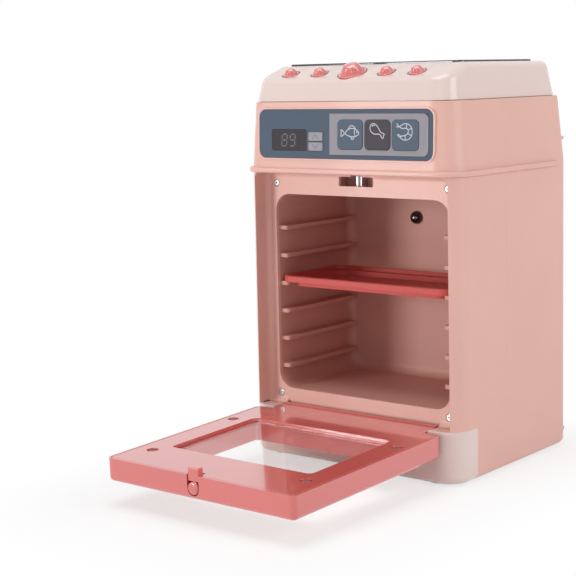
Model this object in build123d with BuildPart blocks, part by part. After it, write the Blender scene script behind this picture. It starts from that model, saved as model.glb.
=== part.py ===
from build123d import *
from math import atan, cos, radians, sin, tan
import os

os.makedirs("parts", exist_ok=True)

# Toy oven, modelled with its door open.
# All sizes are in millimetres: x runs across the front, y from the front face
# to the back and z up from the table.

# ---- Fits ----
seat = 0.1  # gap round a piece that is set into another
slip = 0.05  # radial gap of a shaft that turns or slides in a hole
room = 0.3  # gap between pieces that move past each other

# ---- Body shells ----
pad_height = 0.8
wall = 2.2
half_floor = 63.7  # half the body's width at the table
half_belt = 63.1
half_top = 61.1
belt_low = 146.5
belt_height = 2.6
belt_proud = 2.0
belt_end_y = 94.4
body_top = 181.5
body_depth = 110.0
front_lean = 1.0  # how far the upper front leans back
back_lean = 3.2  # how far the upper back leans forward
front_corner = 12.0
rear_corner = 10.0
bottom_round = 3.5
seam_y = 46.4
flange_width = 14.0
flange_thickness = 2.0
belt_top = belt_low + belt_height
flange_top = pad_height + flange_thickness

# ---- Skirt and base ----
skirt_top = 26.5
skirt_back = 18.75
base_thickness = 2.0
base_boss_radius = 3.0
base_boss_height = 7.0
foot_radius = 4.5

# ---- Door recess and cavity ----
recess_half_low = 58.4
recess_half_high = 57.9
recess_depth = 12.0
recess_corner = 4.0
recess_cove = 3.0
panel_thickness = 2.0
cavity_half = 52.45
cavity_low = 34.07
cavity_high = 134.92
cavity_corner = 8.5
cavity_back = 75.4
cavity_cove = 4.5
liner_wall = 1.6
liner_flange_half = 57.5
liner_flange_margin = 8.6
panel_back = recess_depth + panel_thickness
cavity_width = 2 * cavity_half
cavity_height = cavity_high - cavity_low
cavity_middle = (cavity_high + cavity_low) / 2

# ---- Rails, tray and lamp ----
rail_count = 6
rail_top_z = 117.24  # middle height of the uppermost rail
rail_pitch = 14.41
rail_thickness = 2.0
rail_reach = 4.95
rail_end_y = 72.0
tray_rail = 2  # the tray lies on the third pair of rails from the top
tray_half = 51.6
tray_front = 12.6
tray_length = 50.2
tray_corner = 6.0
tray_sheet = 1.2
tray_border = 4.8
tray_rim_width = 2.0
tray_rim_height = 3.1
tray_depth = 3.7
lamp_x = -8.65
lamp_z = 118.8
lamp_radius = 3.6

# ---- Hinge and door ----
door_open = 91.6  # degrees from shut to the open rest
hinge_y = 9.4
hinge_z = 23.9
knuckle_radius = 3.0
knuckle_half = 46.5
notch_low = 22.0
notch_round = 1.5
pin_radius = 1.1
pin_inner = 42.0
pin_outer = 54.0
ear_outer = 57.5
ear_front = 2.2
ear_low = 14.0
door_low = 11.5  # from the hinge axis to the frame's lower edge
door_high = 120.7  # from the hinge axis to the free edge
door_half_low = 56.3
door_half_high = 55.3
door_inner = 2.3  # inner face, from the hinge axis towards the cavity
door_outer = -8.9
door_corner = 3.0
door_round = 2.2
door_wall = 2.0
door_plate = 2.0
window_half = 41.8
window_low = 30.6
window_high = 92.0
window_corner = 3.0
window_step = 0.8
window_step_depth = 1.0
window_ledge = 2.0
pane_thickness = 1.5
well_radius = 2.85
well_depth = 2.2
well_floor = 1.8
grip_at = 107.1
grip_length = 70.0
grip_height = 7.0
grip_proud = 3.0

# ---- Latch ----
latch_x = -1.5
hook_half = 3.0
hook_low = 117.1
hook_high = 120.2
hook_reach = 3.2
button_half = 3.12
button_top = -0.6
button_bottom = -6.9
button_proud = 0.5
keyhole_half = 3.45
slot_half = 10.35
slot_low = 139.9
slot_high = 144.6
notch_high = 146.2
notch_half = 3.0
latch_pin_x = -3.2
latch_pin_y = 16.6
latch_pin_radius = 1.4
latch_travel = 1.0
bracket_wall = 2.0

# ---- Control panel ----
fascia_left = -52.25
fascia_right = 51.75
fascia_low = 154.06
fascia_high = 177.95
fascia_corner = 4.0
fascia_sink = 0.9
fascia_thickness = 1.2
fascia_rim = 0.9
fascia_rim_height = 0.5
surround_left = -8.0
surround_right = 49.2
surround_low = 156.1
surround_high = 175.9
surround_corner = 3.0
surround_thickness = 0.5
key_low = 158.7
key_high = 172.95
key_corner = 2.5
key_spans = {"key_left": (-3.08, 11.99), "key_middle": (12.99, 27.98), "key_right": (28.78, 44.02)}
key_proud = 0.9
key_travel = 0.8
button_spans = {"up_button": (162.6, 166.9), "down_button": (157.84, 162.0)}
arrow_left = -20.8
arrow_right = -12.1
arrow_corner = 0.8
display_left = -44.26
display_right = -22.39
display_low = 157.8
display_high = 168.15
display_corner = 1.0
board_level = -6.2
board_thickness = 1.6
board_left = -53.0
board_right = 53.0
board_low = 153.5
board_high = 178.2

# ---- Top housing, hob plate and knobs ----
housing_inset = 1.5
housing_gap = 0.3
housing_top = 199.1
housing_draft = 9.0  # degrees, at the sides and the back
housing_front_draft = 10.0  # degrees, at the front
housing_corner = 10.0
housing_round = 4.0
housing_wall = 2.4
housing_ceiling = 3.2
slope_angle = 20.0
slope_y = 11.6
slope_z = 195.0
lip_depth = 3.3
lip_wall = 1.6
hob_half = 52.3
hob_front = 23.4
hob_back = 91.8
hob_corner = 5.0
hob_thickness = 2.4
hob_top = 200.0
knob_middle = -2.2
knob_offsets = (-38.2, -20.0, 0.0, 20.2, 37.7)
knob_large = (7.0, 3.6, 5.0)  # radius at the foot, radius at the top, height
knob_small = (4.05, 2.0, 3.0)
knob_sides = 10
knob_gap = 0.7
knob_sink = 0.8
spindle_radius = 1.5
clip_radius = 2.7
clip_thickness = 1.0
housing_low = body_top + housing_gap

# ---- Electrical parts ----
cell_radius = 7.25
cell_length = 49.3
nub_radius = 2.75
nub_length = 1.2
cell_pitch = 15.5
cell_count = 3
bay_low = 40.0
bay_height = 55.0
bay_wall = 1.5
bay_margin = 0.5
contact_thickness = 0.4
cover_margin = 3.0
cover_thickness = 1.2
speaker_x = 30.0
speaker_z = 125.0
speaker_radius = 18.0
switch_x = -30.0
switch_z = 128.0
switch_travel = 4.0

# ---- Screws ----
screw_radius = 1.0
screw_head_radius = 2.3
screw_head_height = 1.4


# ---- Forms that several pieces share ----
def half_width(z):
    """Half the body's width at a height: a slight taper up to the belt, a stronger one above"""
    if z < belt_top:
        return half_floor + (half_belt - half_floor) * z / belt_top
    return half_belt + (half_top - half_belt) * (z - belt_top) / (body_top - belt_top)


def lean_at(z, lean):
    """How far a leaning wall has come in at a height: nothing up to the belt, all at the top"""
    return lean * max(0.0, (z - belt_top) / (body_top - belt_top))


def body_outline(z, inset=0.0):
    """The body's plan at a height, drawn in by an inset"""
    half = half_width(z) - inset
    front = lean_at(z, front_lean) + inset
    back = body_depth - lean_at(z, back_lean) - inset
    with BuildSketch(Plane.XY.offset(z)) as outline:
        with BuildLine():
            Polyline((-half, front), (half, front), (half, back), (-half, back), close=True)
        make_face()
        fillet(outline.vertices().group_by(Axis.Y)[0], max(front_corner - inset, 1.0))
        fillet(outline.vertices().group_by(Axis.Y)[-1], max(rear_corner - inset, 1.0))
    return outline.sketch


def body_block(low, high, inset=0.0):
    """The body's solid form between two heights, drawn in by an inset all round"""
    levels = [low, high]
    if low < belt_top < high:
        levels = [low, belt_top, high]
    with BuildPart() as solid:
        for below, above in zip(levels, levels[1:]):
            loft(sections=[body_outline(below, inset), body_outline(above, inset)], ruled=True)
    return solid.part


def block(x_span, y_span, z_span):
    """A plain block between the given limits"""
    with BuildPart() as solid:
        with BuildSketch(Plane.XY.offset(z_span[0])):
            with Locations(((x_span[0] + x_span[1]) / 2, (y_span[0] + y_span[1]) / 2)):
                Rectangle(x_span[1] - x_span[0], y_span[1] - y_span[0])
        extrude(amount=z_span[1] - z_span[0])
    return solid.part


def plate(plane, x_span, v_span, corner, thickness):
    """A rounded plate on a plane, between limits along the plane's two directions"""
    width = x_span[1] - x_span[0]
    height = v_span[1] - v_span[0]
    with BuildPart() as solid:
        with BuildSketch(plane):
            with Locations(((x_span[0] + x_span[1]) / 2, (v_span[0] + v_span[1]) / 2)):
                if corner:
                    RectangleRounded(width, height, corner)
                else:
                    Rectangle(width, height)
        extrude(amount=thickness)
    return solid.part


def rod(start, direction, radius, length):
    """A round bar from a point along a direction"""
    with BuildPart() as solid:
        with BuildSketch(Plane(origin=start, z_dir=direction)):
            Circle(radius)
        extrude(amount=length)
    return solid.part


def screw(start, direction, length, radius=screw_radius, head_radius=screw_head_radius):
    """A pan-head screw with a cross recess: start is the middle of its head's top"""
    top = Plane(origin=start, z_dir=direction)
    with BuildPart() as fastener:
        with BuildSketch(top):
            Circle(head_radius)
        extrude(amount=screw_head_height)
        fillet(fastener.edges().sort_by(Axis(start, direction))[0], screw_head_height / 3)
        with BuildSketch(top):
            Rectangle(head_radius, head_radius / 4)
            Rectangle(head_radius / 4, head_radius)
        extrude(amount=screw_head_height / 2, mode=Mode.SUBTRACT)
        with BuildSketch(top.offset(screw_head_height)):
            Circle(radius)
        extrude(amount=length)
    return fastener.part


# ---- Front shell ----
seam_plane = Plane.XZ.offset(-seam_y)

with BuildPart() as body_form:
    add(body_block(pad_height, body_top))
    fillet(body_form.edges().group_by(Axis.Z)[0], bottom_round)

with BuildPart() as belt:
    extrude(body_outline(belt_low, -belt_proud), amount=belt_height)
    add(block((-80, 80), (belt_end_y, body_depth + 10), (belt_low, belt_top)), mode=Mode.SUBTRACT)
    fillet(belt.edges().filter_by(Axis.Z).group_by(Axis.Y)[-1], belt_proud * 0.9)
    fillet(belt.faces().sort_by(Axis.Z)[-1].edges(), belt_height / 3)
    fillet(belt.faces().sort_by(Axis.Z)[0].edges(), belt_height / 3)

with BuildPart() as body_room:
    add(body_block(pad_height - 1, flange_top, flange_width))
    add(body_block(flange_top, body_top + 1, wall))

# The solid front frame: a rim at each side, a ledge above and the panel behind
with BuildPart() as front_frame:
    add(block((-half_floor, half_floor), (0, panel_back), (skirt_top, belt_low + wall)))
    add(body_form.part, mode=Mode.INTERSECT)

with BuildPart() as recess:
    with BuildSketch(Plane.XZ.offset(-recess_depth)) as mouth:
        with BuildLine():
            Polyline(
                (-recess_half_low, skirt_top),
                (recess_half_low, skirt_top),
                (recess_half_high, belt_low),
                (-recess_half_high, belt_low),
                close=True,
            )
        make_face()
        fillet(mouth.vertices().group_by(Axis.Y)[-1], recess_corner)
    extrude(amount=recess_depth + belt_proud + 1)
    fillet(recess.faces().sort_by(Axis.Y)[-1].edges(), recess_cove)

with BuildPart() as latch_slot:
    slot_middle = (slot_low + slot_high) / 2
    with BuildSketch(Plane.XZ.offset(-panel_back - 1)):
        with Locations((latch_x, slot_middle)):
            RectangleRounded(2 * slot_half, slot_high - slot_low, 0.8)
        with Locations((latch_x, (slot_middle + notch_high) / 2)):
            Rectangle(2 * notch_half, notch_high - slot_middle)
    extrude(amount=panel_thickness + 1 + 1)

# Upper front, which leans back: its plane lies on the wall's outer surface
front_angle = atan(front_lean / (body_top - belt_top))
upper_front = Plane(
    origin=(0, 0, belt_top),
    x_dir=(1, 0, 0),
    z_dir=(0, -cos(front_angle), sin(front_angle)),
)


def up(z):
    """Distance up the leaning front for a height above the table"""
    return (z - belt_top) / cos(front_angle)


fascia_x = (fascia_left, fascia_right)
fascia_v = (up(fascia_low), up(fascia_high))
display_x = (display_left, display_right)
display_v = (up(display_low), up(display_high))
surround_v = (up(surround_low), up(surround_high))
key_v = (up(key_low), up(key_high))
arrow_x = (arrow_left, arrow_right)


def grown(span, margin):
    """A span made longer by a margin at both ends"""
    return (span[0] - margin, span[1] + margin)


panel_window_x = grown(fascia_x, -5.0)
panel_window_v = grown(fascia_v, -1.5)
board_bosses = [
    (x, up(z))
    for x in (board_left + 2.5, board_right - 2.5)
    for z in (board_low + 3.5, board_high - 3.5)
]

shell_screw_spots = [(-52.0, 8.6), (52.0, 8.6), (-50.0, 160.0), (50.0, 160.0)]
shell_boss_radius = 3.2
shell_boss_reach = 16.0
top_tab_spots = [(-50.0, 25.0), (50.0, 25.0), (-50.0, 88.0), (50.0, 88.0)]
top_tab_low = 176.0
top_tab_high = 178.0
liner_screw_spots = [(x, z) for x in (-51.8, 51.8) for z in (31.0, 140.4)]
liner_head_radius = 1.8
liner_head_y = recess_depth - 0.1  # the heads stand just proud of the panel
base_screw_spots = [(-30.0, 8.0), (30.0, 8.0), (-54.0, 24.5), (54.0, 24.5), (-34.0, 101.0), (34.0, 101.0)]
foot_spots = [(-48.0, 9.0), (48.0, 9.0), (-50.0, 99.5), (50.0, 99.5)]


def shell_boss(x, z, start_y, end_y):
    """A screw boss along y, joined to the nearer side wall by a web"""
    side = 1 if x > 0 else -1
    far = side * (half_width(z) - wall / 2)
    with BuildPart() as boss:
        add(rod((x, start_y, z), (0, 1, 0), shell_boss_radius, end_y - start_y))
        add(block((min(x, far), max(x, far)), (start_y, end_y), (z - 0.8, z + 0.8)))
    return boss.part


def top_tab(x, y):
    """A shelf near the body's top edge that carries the top housing"""
    side = 1 if x > 0 else -1
    far = side * (half_width(top_tab_high) - wall / 2)
    near = x - side * 4.0
    with BuildPart() as tab:
        add(block((min(near, far), max(near, far)), (y - 5, y + 5), (top_tab_low, top_tab_high)))
        add(rod((x, y, top_tab_low), (0, 0, 1), screw_radius + 0.2, 2.0), mode=Mode.SUBTRACT)
    return tab.part


# Ears behind the skirt that hold the hinge pins
with BuildPart() as ears:
    for side in (-1, 1):
        ear_x = sorted((side * (knuckle_half + 0.7), side * ear_outer))
        add(block(ear_x, (ear_front, panel_back), (ear_low, skirt_top - 0.2)))
    add(body_block(flange_top, skirt_top, wall + seat), mode=Mode.INTERSECT)

with BuildPart() as front_shell:
    add(body_form.part)
    add(belt.part)
    add(body_room.part, mode=Mode.SUBTRACT)
    add(front_frame.part)
    add(recess.part, mode=Mode.SUBTRACT)
    split(bisect_by=seam_plane, keep=Keep.TOP)
    # Below the recess the skirt takes the shell's place
    add(block((-80, 80), (-5, skirt_back), (-1, skirt_top)), mode=Mode.SUBTRACT)
    add(block((-58, 58), (recess_depth, panel_back), (ear_low, skirt_top + recess_cove)))
    add(ears.part)
    # Room for the hinge knuckle and the tongue that joins it to the door
    knuckle_room = knuckle_half + 0.4
    add(
        block((-knuckle_room, knuckle_room), (-1, recess_depth), (hinge_z - 4, skirt_top + recess_cove + 1)),
        mode=Mode.SUBTRACT,
    )
    add(
        block((-knuckle_room, knuckle_room), (0, panel_back + 1), (hinge_z - 3.4, hinge_z + 3.3)),
        mode=Mode.SUBTRACT,
    )
    for side in (-1, 1):
        add(rod((side * knuckle_half, hinge_y, hinge_z), (side, 0, 0), pin_radius, pin_outer - knuckle_half),
            mode=Mode.SUBTRACT)
    # The cavity's mouth, with the latch slot above it and the liner's screws round it
    add(plate(Plane.XZ.offset(-panel_back - 1), (-cavity_half, cavity_half), (cavity_low, cavity_high),
              cavity_corner, panel_thickness + 2), mode=Mode.SUBTRACT)
    add(latch_slot.part, mode=Mode.SUBTRACT)
    for x, z in liner_screw_spots:
        add(rod((x, recess_depth - 1, z), (0, 1, 0), liner_head_radius + seat, 0.9 + screw_head_height),
            mode=Mode.SUBTRACT)
        add(rod((x, recess_depth - 1, z), (0, 1, 0), screw_radius + 0.15, 4), mode=Mode.SUBTRACT)
    # The fascia's raised rim, its pocket and the window behind it
    add(plate(upper_front.offset(-wall / 2), grown(fascia_x, fascia_rim), grown(fascia_v, fascia_rim),
              fascia_corner + fascia_rim, wall / 2 + fascia_rim_height))
    add(plate(upper_front.offset(-fascia_sink), grown(fascia_x, seat), grown(fascia_v, seat),
              fascia_corner + seat, 4), mode=Mode.SUBTRACT)
    add(plate(upper_front.offset(-wall - 2), panel_window_x, panel_window_v, 3.0, 4), mode=Mode.SUBTRACT)
    for x, v in board_bosses:
        add(rod(upper_front.from_local_coords((x, v, board_level)), upper_front.z_dir, 2.2, -board_level - 1.6))
        add(rod(upper_front.from_local_coords((x, v, board_level - 1)), upper_front.z_dir, screw_radius, 4.5),
            mode=Mode.SUBTRACT)
    for x, z in shell_screw_spots:
        add(shell_boss(x, z, seam_y - shell_boss_reach, seam_y))
        add(rod((x, seam_y - shell_boss_reach + 2, z), (0, 1, 0), screw_radius + slip, shell_boss_reach),
            mode=Mode.SUBTRACT)
    for x, y in top_tab_spots:
        if y < seam_y:
            add(top_tab(x, y))
    for x, y in base_screw_spots:
        if skirt_back < y < seam_y:
            add(rod((x, y, -1), (0, 0, 1), screw_head_radius + 0.2, pad_height + 1 + 1.2), mode=Mode.SUBTRACT)
            add(rod((x, y, -1), (0, 0, 1), screw_radius + 0.2, 5), mode=Mode.SUBTRACT)
front_shell.part.label = "front_shell"
export_step(front_shell.part, "parts/front_shell.step")

# ---- Rear shell ----
back_inner = body_depth - wall
bay_half = cell_count * cell_pitch / 2 + bay_margin
bay_high = bay_low + bay_height
bay_front = back_inner - 2 * cell_radius - 2 * bay_margin
cover_half = bay_half + cover_margin
cover_low = bay_low - cover_margin
cover_high = bay_high + 3 * cover_margin
cover_screw_z = bay_high + 1.7 * cover_margin
back_outer_plane = Plane.XZ.offset(-body_depth)
speaker_spot = (speaker_x, speaker_z)
switch_slot_half = 2.0
switch_slot_length = 4.0 + switch_travel + 2 * room

with BuildPart() as rear_shell:
    add(body_form.part)
    add(belt.part)
    add(body_room.part, mode=Mode.SUBTRACT)
    split(bisect_by=seam_plane, keep=Keep.BOTTOM)
    for x, z in shell_screw_spots:
        add(shell_boss(x, z, seam_y, body_depth - back_lean - wall / 2))
        add(rod((x, seam_y - 1, z), (0, 1, 0), screw_radius + 0.15, 6), mode=Mode.SUBTRACT)
        add(rod((x, seam_y + 4, z), (0, 1, 0), screw_head_radius - 0.1, body_depth), mode=Mode.SUBTRACT)
    # Battery bay: an opening in a shallow rebate for the cover
    add(plate(back_outer_plane.offset(-1), (-cover_half - seat, cover_half + seat),
              (cover_low - seat, cover_high + seat), 2.0, 1 + cover_thickness), mode=Mode.SUBTRACT)
    add(block((-bay_half, bay_half), (back_inner - 1, body_depth + 1), (bay_low, bay_high)), mode=Mode.SUBTRACT)
    add(rod((0, back_inner - 1, cover_screw_z), (0, 1, 0), screw_radius + 0.2, 3), mode=Mode.SUBTRACT)
    # Sound holes in rings over the speaker, with a collar that holds it
    with BuildSketch(Plane.XZ.offset(-body_depth - 1)):
        with Locations(speaker_spot):
            Circle(1.1)
            with PolarLocations(5.2, 6):
                Circle(1.1)
            with PolarLocations(10.4, 12):
                Circle(1.1)
    extrude(amount=wall + 2, mode=Mode.SUBTRACT)
    with BuildSketch(Plane.XZ.offset(-back_inner - 0.5)):
        with Locations(speaker_spot):
            Circle(speaker_radius + seat + 1.2)
            Circle(speaker_radius + seat, mode=Mode.SUBTRACT)
    extrude(amount=4.5)
    add(block((switch_x - switch_slot_length / 2, switch_x + switch_slot_length / 2),
              (back_inner - 1, body_depth + 1), (switch_z - switch_slot_half, switch_z + switch_slot_half)),
        mode=Mode.SUBTRACT)
    for x, y in top_tab_spots:
        if y > seam_y:
            add(top_tab(x, y))
    for x, y in base_screw_spots:
        if y > seam_y:
            add(rod((x, y, -1), (0, 0, 1), screw_head_radius + 0.2, pad_height + 1 + 1.2), mode=Mode.SUBTRACT)
            add(rod((x, y, -1), (0, 0, 1), screw_radius + 0.2, 5), mode=Mode.SUBTRACT)
rear_shell.part.label = "rear_shell"
export_step(rear_shell.part, "parts/rear_shell.step")

# ---- Cream skirt round the foot of the front ----
with BuildPart() as base_skirt:
    add(body_form.part)
    add(body_room.part, mode=Mode.SUBTRACT)
    add(block((-80, 80), (skirt_back, body_depth + 5), (-1, body_top + 5)), mode=Mode.SUBTRACT)
    add(block((-80, 80), (-5, body_depth), (skirt_top, body_top + 5)), mode=Mode.SUBTRACT)
    # Notch in the front wall for the hinge knuckle
    add(plate(Plane.XZ.offset(-wall - 1), (-knuckle_half - 0.7, knuckle_half + 0.7),
              (notch_low, skirt_top + 10), notch_round, wall + 2), mode=Mode.SUBTRACT)
    for x, y in base_screw_spots:
        if y < skirt_back:
            add(rod((x, y, -1), (0, 0, 1), screw_head_radius + 0.2, pad_height + 1 + 1.2), mode=Mode.SUBTRACT)
            add(rod((x, y, -1), (0, 0, 1), screw_radius + 0.2, 5), mode=Mode.SUBTRACT)
base_skirt.part.label = "base_skirt"
export_step(base_skirt.part, "parts/base_skirt.step")

# ---- Base plate, feet and base screws ----
with BuildPart() as base_plate:
    extrude(body_outline(flange_top, wall + 2 * seat), amount=base_thickness)
    for x, y in base_screw_spots:
        add(rod((x, y, flange_top), (0, 0, 1), base_boss_radius, base_thickness + base_boss_height))
        add(rod((x, y, flange_top - 1), (0, 0, 1), screw_radius + slip, base_thickness + base_boss_height),
            mode=Mode.SUBTRACT)
base_plate.part.label = "base_plate"
export_step(base_plate.part, "parts/base_plate.step")

with BuildPart() as feet:
    with BuildSketch(Plane.XY):
        with Locations(*foot_spots):
            Circle(foot_radius)
    extrude(amount=pad_height)
feet.part.label = "feet"
export_step(feet.part, "parts/feet.step")

with BuildPart() as base_screws:
    for x, y in base_screw_spots:
        add(screw((x, y, pad_height + 1.2 - screw_head_height), (0, 0, 1), base_boss_height))
base_screws.part.label = "base_screws"
export_step(base_screws.part, "parts/base_screws.step")

# ---- Shell screws, from the back into the front shell ----
with BuildPart() as shell_screws:
    for x, z in shell_screw_spots:
        add(screw((x, seam_y + 4 + screw_head_height, z), (0, -1, 0), shell_boss_reach - 1,
                  head_radius=screw_head_radius - 0.3))
shell_screws.part.label = "shell_screws"
export_step(shell_screws.part, "parts/shell_screws.step")

# ---- Cavity liner with its rails ----
with BuildPart() as cavity_room:
    with BuildSketch(Plane.XZ.offset(-cavity_back)):
        with Locations((0, cavity_middle)):
            RectangleRounded(cavity_width, cavity_height, cavity_corner)
    extrude(amount=cavity_back - panel_back + 1)
    fillet(cavity_room.faces().sort_by(Axis.Y)[-1].edges(), cavity_cove)

with BuildPart() as rails:
    for k in range(rail_count):
        for side in (-1, 1):
            rail_z = rail_top_z - k * rail_pitch
            rail_x = sorted((side * (cavity_half - rail_reach), side * (cavity_half + liner_wall / 2)))
            add(block(rail_x, (panel_back + 0.2, rail_end_y),
                      (rail_z - rail_thickness / 2, rail_z + rail_thickness / 2)))
    fillet(rails.edges().filter_by(Axis.Z).group_by(Axis.Y)[0], 1.5)

with BuildPart() as cavity_liner:
    with BuildSketch(Plane.XZ.offset(-cavity_back - liner_wall)):
        with Locations((0, cavity_middle)):
            RectangleRounded(cavity_width + 2 * liner_wall, cavity_height + 2 * liner_wall,
                             cavity_corner + liner_wall)
    extrude(amount=cavity_back + liner_wall - panel_back)
    fillet(cavity_liner.faces().sort_by(Axis.Y)[-1].edges(), cavity_cove)
    add(plate(Plane.XZ.offset(-panel_back - liner_wall), (-liner_flange_half, liner_flange_half),
              (cavity_low - 6.4, cavity_high + liner_flange_margin), 4.0, liner_wall))
    for x, z in liner_screw_spots:
        add(rod((x, panel_back, z), (0, 1, 0), 2.6, 7.0))
    add(cavity_room.part, mode=Mode.SUBTRACT)
    add(rails.part)
    # Clear of the latch bracket
    add(block((latch_x - slot_half - 4, latch_x + slot_half + 4), (panel_back - 1, panel_back + 8),
              (cavity_high + liner_wall + 0.3, cavity_high + 20)), mode=Mode.SUBTRACT)
    for x, z in liner_screw_spots:
        add(rod((x, panel_back - 1, z), (0, 1, 0), screw_radius + slip, 7.0), mode=Mode.SUBTRACT)
    add(rod((lamp_x, cavity_back - 1, lamp_z), (0, 1, 0), lamp_radius - 0.9, 4), mode=Mode.SUBTRACT)
    for side in (-1, 1):
        add(rod((lamp_x + side * 6, cavity_back + liner_wall - 0.5, lamp_z), (0, 1, 0), 1.4, 1.7))
cavity_liner.part.label = "cavity_liner"
export_step(cavity_liner.part, "parts/cavity_liner.step")

with BuildPart() as liner_screws:
    for x, z in liner_screw_spots:
        add(screw((x, liner_head_y, z), (0, 1, 0), 6.0, head_radius=liner_head_radius))
liner_screws.part.label = "liner_screws"
export_step(liner_screws.part, "parts/liner_screws.step")

# ---- Cavity lamp: a dark domed lens and its small board ----
lamp_board_y = cavity_back + liner_wall + 1.2
with BuildPart() as lamp_lens:
    with BuildSketch(Plane(origin=(lamp_x, cavity_back, lamp_z), x_dir=(1, 0, 0), z_dir=(0, 0, 1))):
        with BuildLine():
            CenterArc((0, 0), lamp_radius, -90, 90)
            Polyline((lamp_radius, 0), (lamp_radius - 1, 0), (lamp_radius - 1, liner_wall), (0, liner_wall),
                     (0, -lamp_radius))
        make_face()
    revolve(axis=Axis((lamp_x, 0, lamp_z), (0, 1, 0)))
lamp_lens.part.label = "lamp_lens"
export_step(lamp_lens.part, "parts/lamp_lens.step")

with BuildPart() as lamp_board:
    add(plate(Plane.XZ.offset(-lamp_board_y - 1.2), grown((lamp_x, lamp_x), 9), grown((lamp_z, lamp_z), 6),
              1.0, 1.2))
    add(rod((lamp_x, lamp_board_y - 1.0, lamp_z), (0, 1, 0), 1.5, 1.0))
lamp_board.part.label = "lamp_board"
export_step(lamp_board.part, "parts/lamp_board.step")

# ---- Baking tray ----
tray_low = rail_top_z - tray_rail * rail_pitch + rail_thickness / 2 + slip
tray_x = (-tray_half, tray_half)
tray_y = (tray_front, tray_front + tray_length)
dish_low = tray_low + tray_sheet - tray_depth

with BuildPart() as oven_tray:
    add(plate(Plane.XY.offset(tray_low), tray_x, tray_y, tray_corner, tray_rim_height))
    fillet(oven_tray.faces().sort_by(Axis.Z)[-1].edges(), 0.9)
    add(plate(Plane.XY.offset(tray_low + tray_sheet), grown(tray_x, -tray_rim_width),
              grown(tray_y, -tray_rim_width), tray_corner - tray_rim_width, tray_rim_height),
        mode=Mode.SUBTRACT)
    add(plate(Plane.XY.offset(dish_low), grown(tray_x, -tray_border), grown(tray_y, -tray_border),
              tray_corner, tray_depth))
    add(plate(Plane.XY.offset(dish_low + tray_sheet), grown(tray_x, -tray_border - tray_sheet),
              grown(tray_y, -tray_border - tray_sheet), tray_corner - tray_sheet, tray_depth),
        mode=Mode.SUBTRACT)
oven_tray.part.label = "oven_tray"
export_step(oven_tray.part, "parts/oven_tray.step")

# ---- Door: its plane lies through the hinge axis, with z towards the cavity side ----
door_plane = Plane(
    origin=(0, hinge_y, hinge_z),
    x_dir=(1, 0, 0),
    z_dir=(0, cos(radians(door_open)), sin(radians(door_open))),
)
door_normal = door_plane.z_dir
free_way = -door_plane.y_dir  # from the hinge towards the free edge


def on_door(x, along, level):
    """A point of the door: across it, from the hinge towards the free edge, and off its plane"""
    return door_plane.from_local_coords((x, -along, level))


def door_outline(level, inset=0.0):
    """The door frame's outline at a level, drawn in by an inset"""
    low = door_low + inset
    high = door_high - inset
    with BuildSketch(door_plane.offset(level)) as outline:
        with BuildLine():
            Polyline(
                (-door_half_low + inset, -low),
                (door_half_low - inset, -low),
                (door_half_high - inset, -high),
                (-door_half_high + inset, -high),
                close=True,
            )
        make_face()
        fillet(outline.vertices(), max(door_corner - inset, 0.8))
    return outline.sketch


plate_low = door_inner - door_plate  # underside of the inner plate
window_x = (-window_half, window_half)
window_v = (-window_high, -window_low)
pane_low = door_inner - window_step_depth - 0.2 - pane_thickness
collar_low = pane_low - 1.2
pane_pocket = -window_step
clear_inset = -window_step - window_ledge
door_screw_spots = [(-45.6, 100.2), (45.6, 100.2), (-49.8, 38.2), (49.8, 38.2)]
well_bottom = door_inner - well_depth
frame_boss_top = well_bottom - well_floor - slip
button_middle = (button_top + button_bottom) / 2

with BuildPart() as keyhole:
    with BuildSketch(Plane(origin=on_door(latch_x, door_high + 3, 0), x_dir=(1, 0, 0), z_dir=-free_way)):
        with Locations((0, -button_middle)):
            Circle(keyhole_half)
        with Locations((0, -(door_inner + 1 + button_middle) / 2)):
            Rectangle(2 * keyhole_half, door_inner + 1 - button_middle)
    extrude(amount=door_wall + 3 + 1.4)

with BuildPart() as door_frame:
    extrude(door_outline(door_outer), amount=door_inner - door_outer)
    fillet(door_frame.faces().sort_by(Axis((0, 0, 0), door_normal))[0].edges(), door_round)
    extrude(door_outline(door_outer + door_wall, door_wall), amount=20, mode=Mode.SUBTRACT)
    extrude(door_outline(plate_low, door_wall / 2), amount=20, mode=Mode.SUBTRACT)
    add(plate(door_plane.offset(door_outer), grown(window_x, clear_inset + 1.6),
              grown(window_v, clear_inset + 1.6), window_corner, collar_low - seat - door_outer))
    add(plate(door_plane.offset(door_outer - 1), grown(window_x, clear_inset), grown(window_v, clear_inset),
              window_corner - 1.4, 20), mode=Mode.SUBTRACT)
    for x, along in door_screw_spots:
        add(rod(on_door(x, along, door_outer + 1), door_normal, 2.4, frame_boss_top - door_outer - 1))
        add(rod(on_door(x, along, door_outer + 2.5), door_normal, screw_radius + slip, 20), mode=Mode.SUBTRACT)
    # The keyhole in the free edge, with a rib at each side that guides the latch
    for side in (-1, 1):
        rib_x = sorted((latch_x + side * (keyhole_half + seat), latch_x + side * (keyhole_half + 1.4)))
        add(plate(door_plane.offset(door_outer + 1), rib_x, (-door_high + 1, -door_high + 12), 0,
                  plate_low - seat - door_outer - 1))
    add(keyhole.part, mode=Mode.SUBTRACT)
    # The rim stands back where the hinge tongue passes it
    add(plate(door_plane.offset(-0.7), (-knuckle_half - 0.2, knuckle_half + 0.2),
              (-door_low - 3, -door_low + 1), 0, 10), mode=Mode.SUBTRACT)
door_frame.part.label = "door_frame"
export_step(door_frame.part, "parts/door_frame.step")

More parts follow.
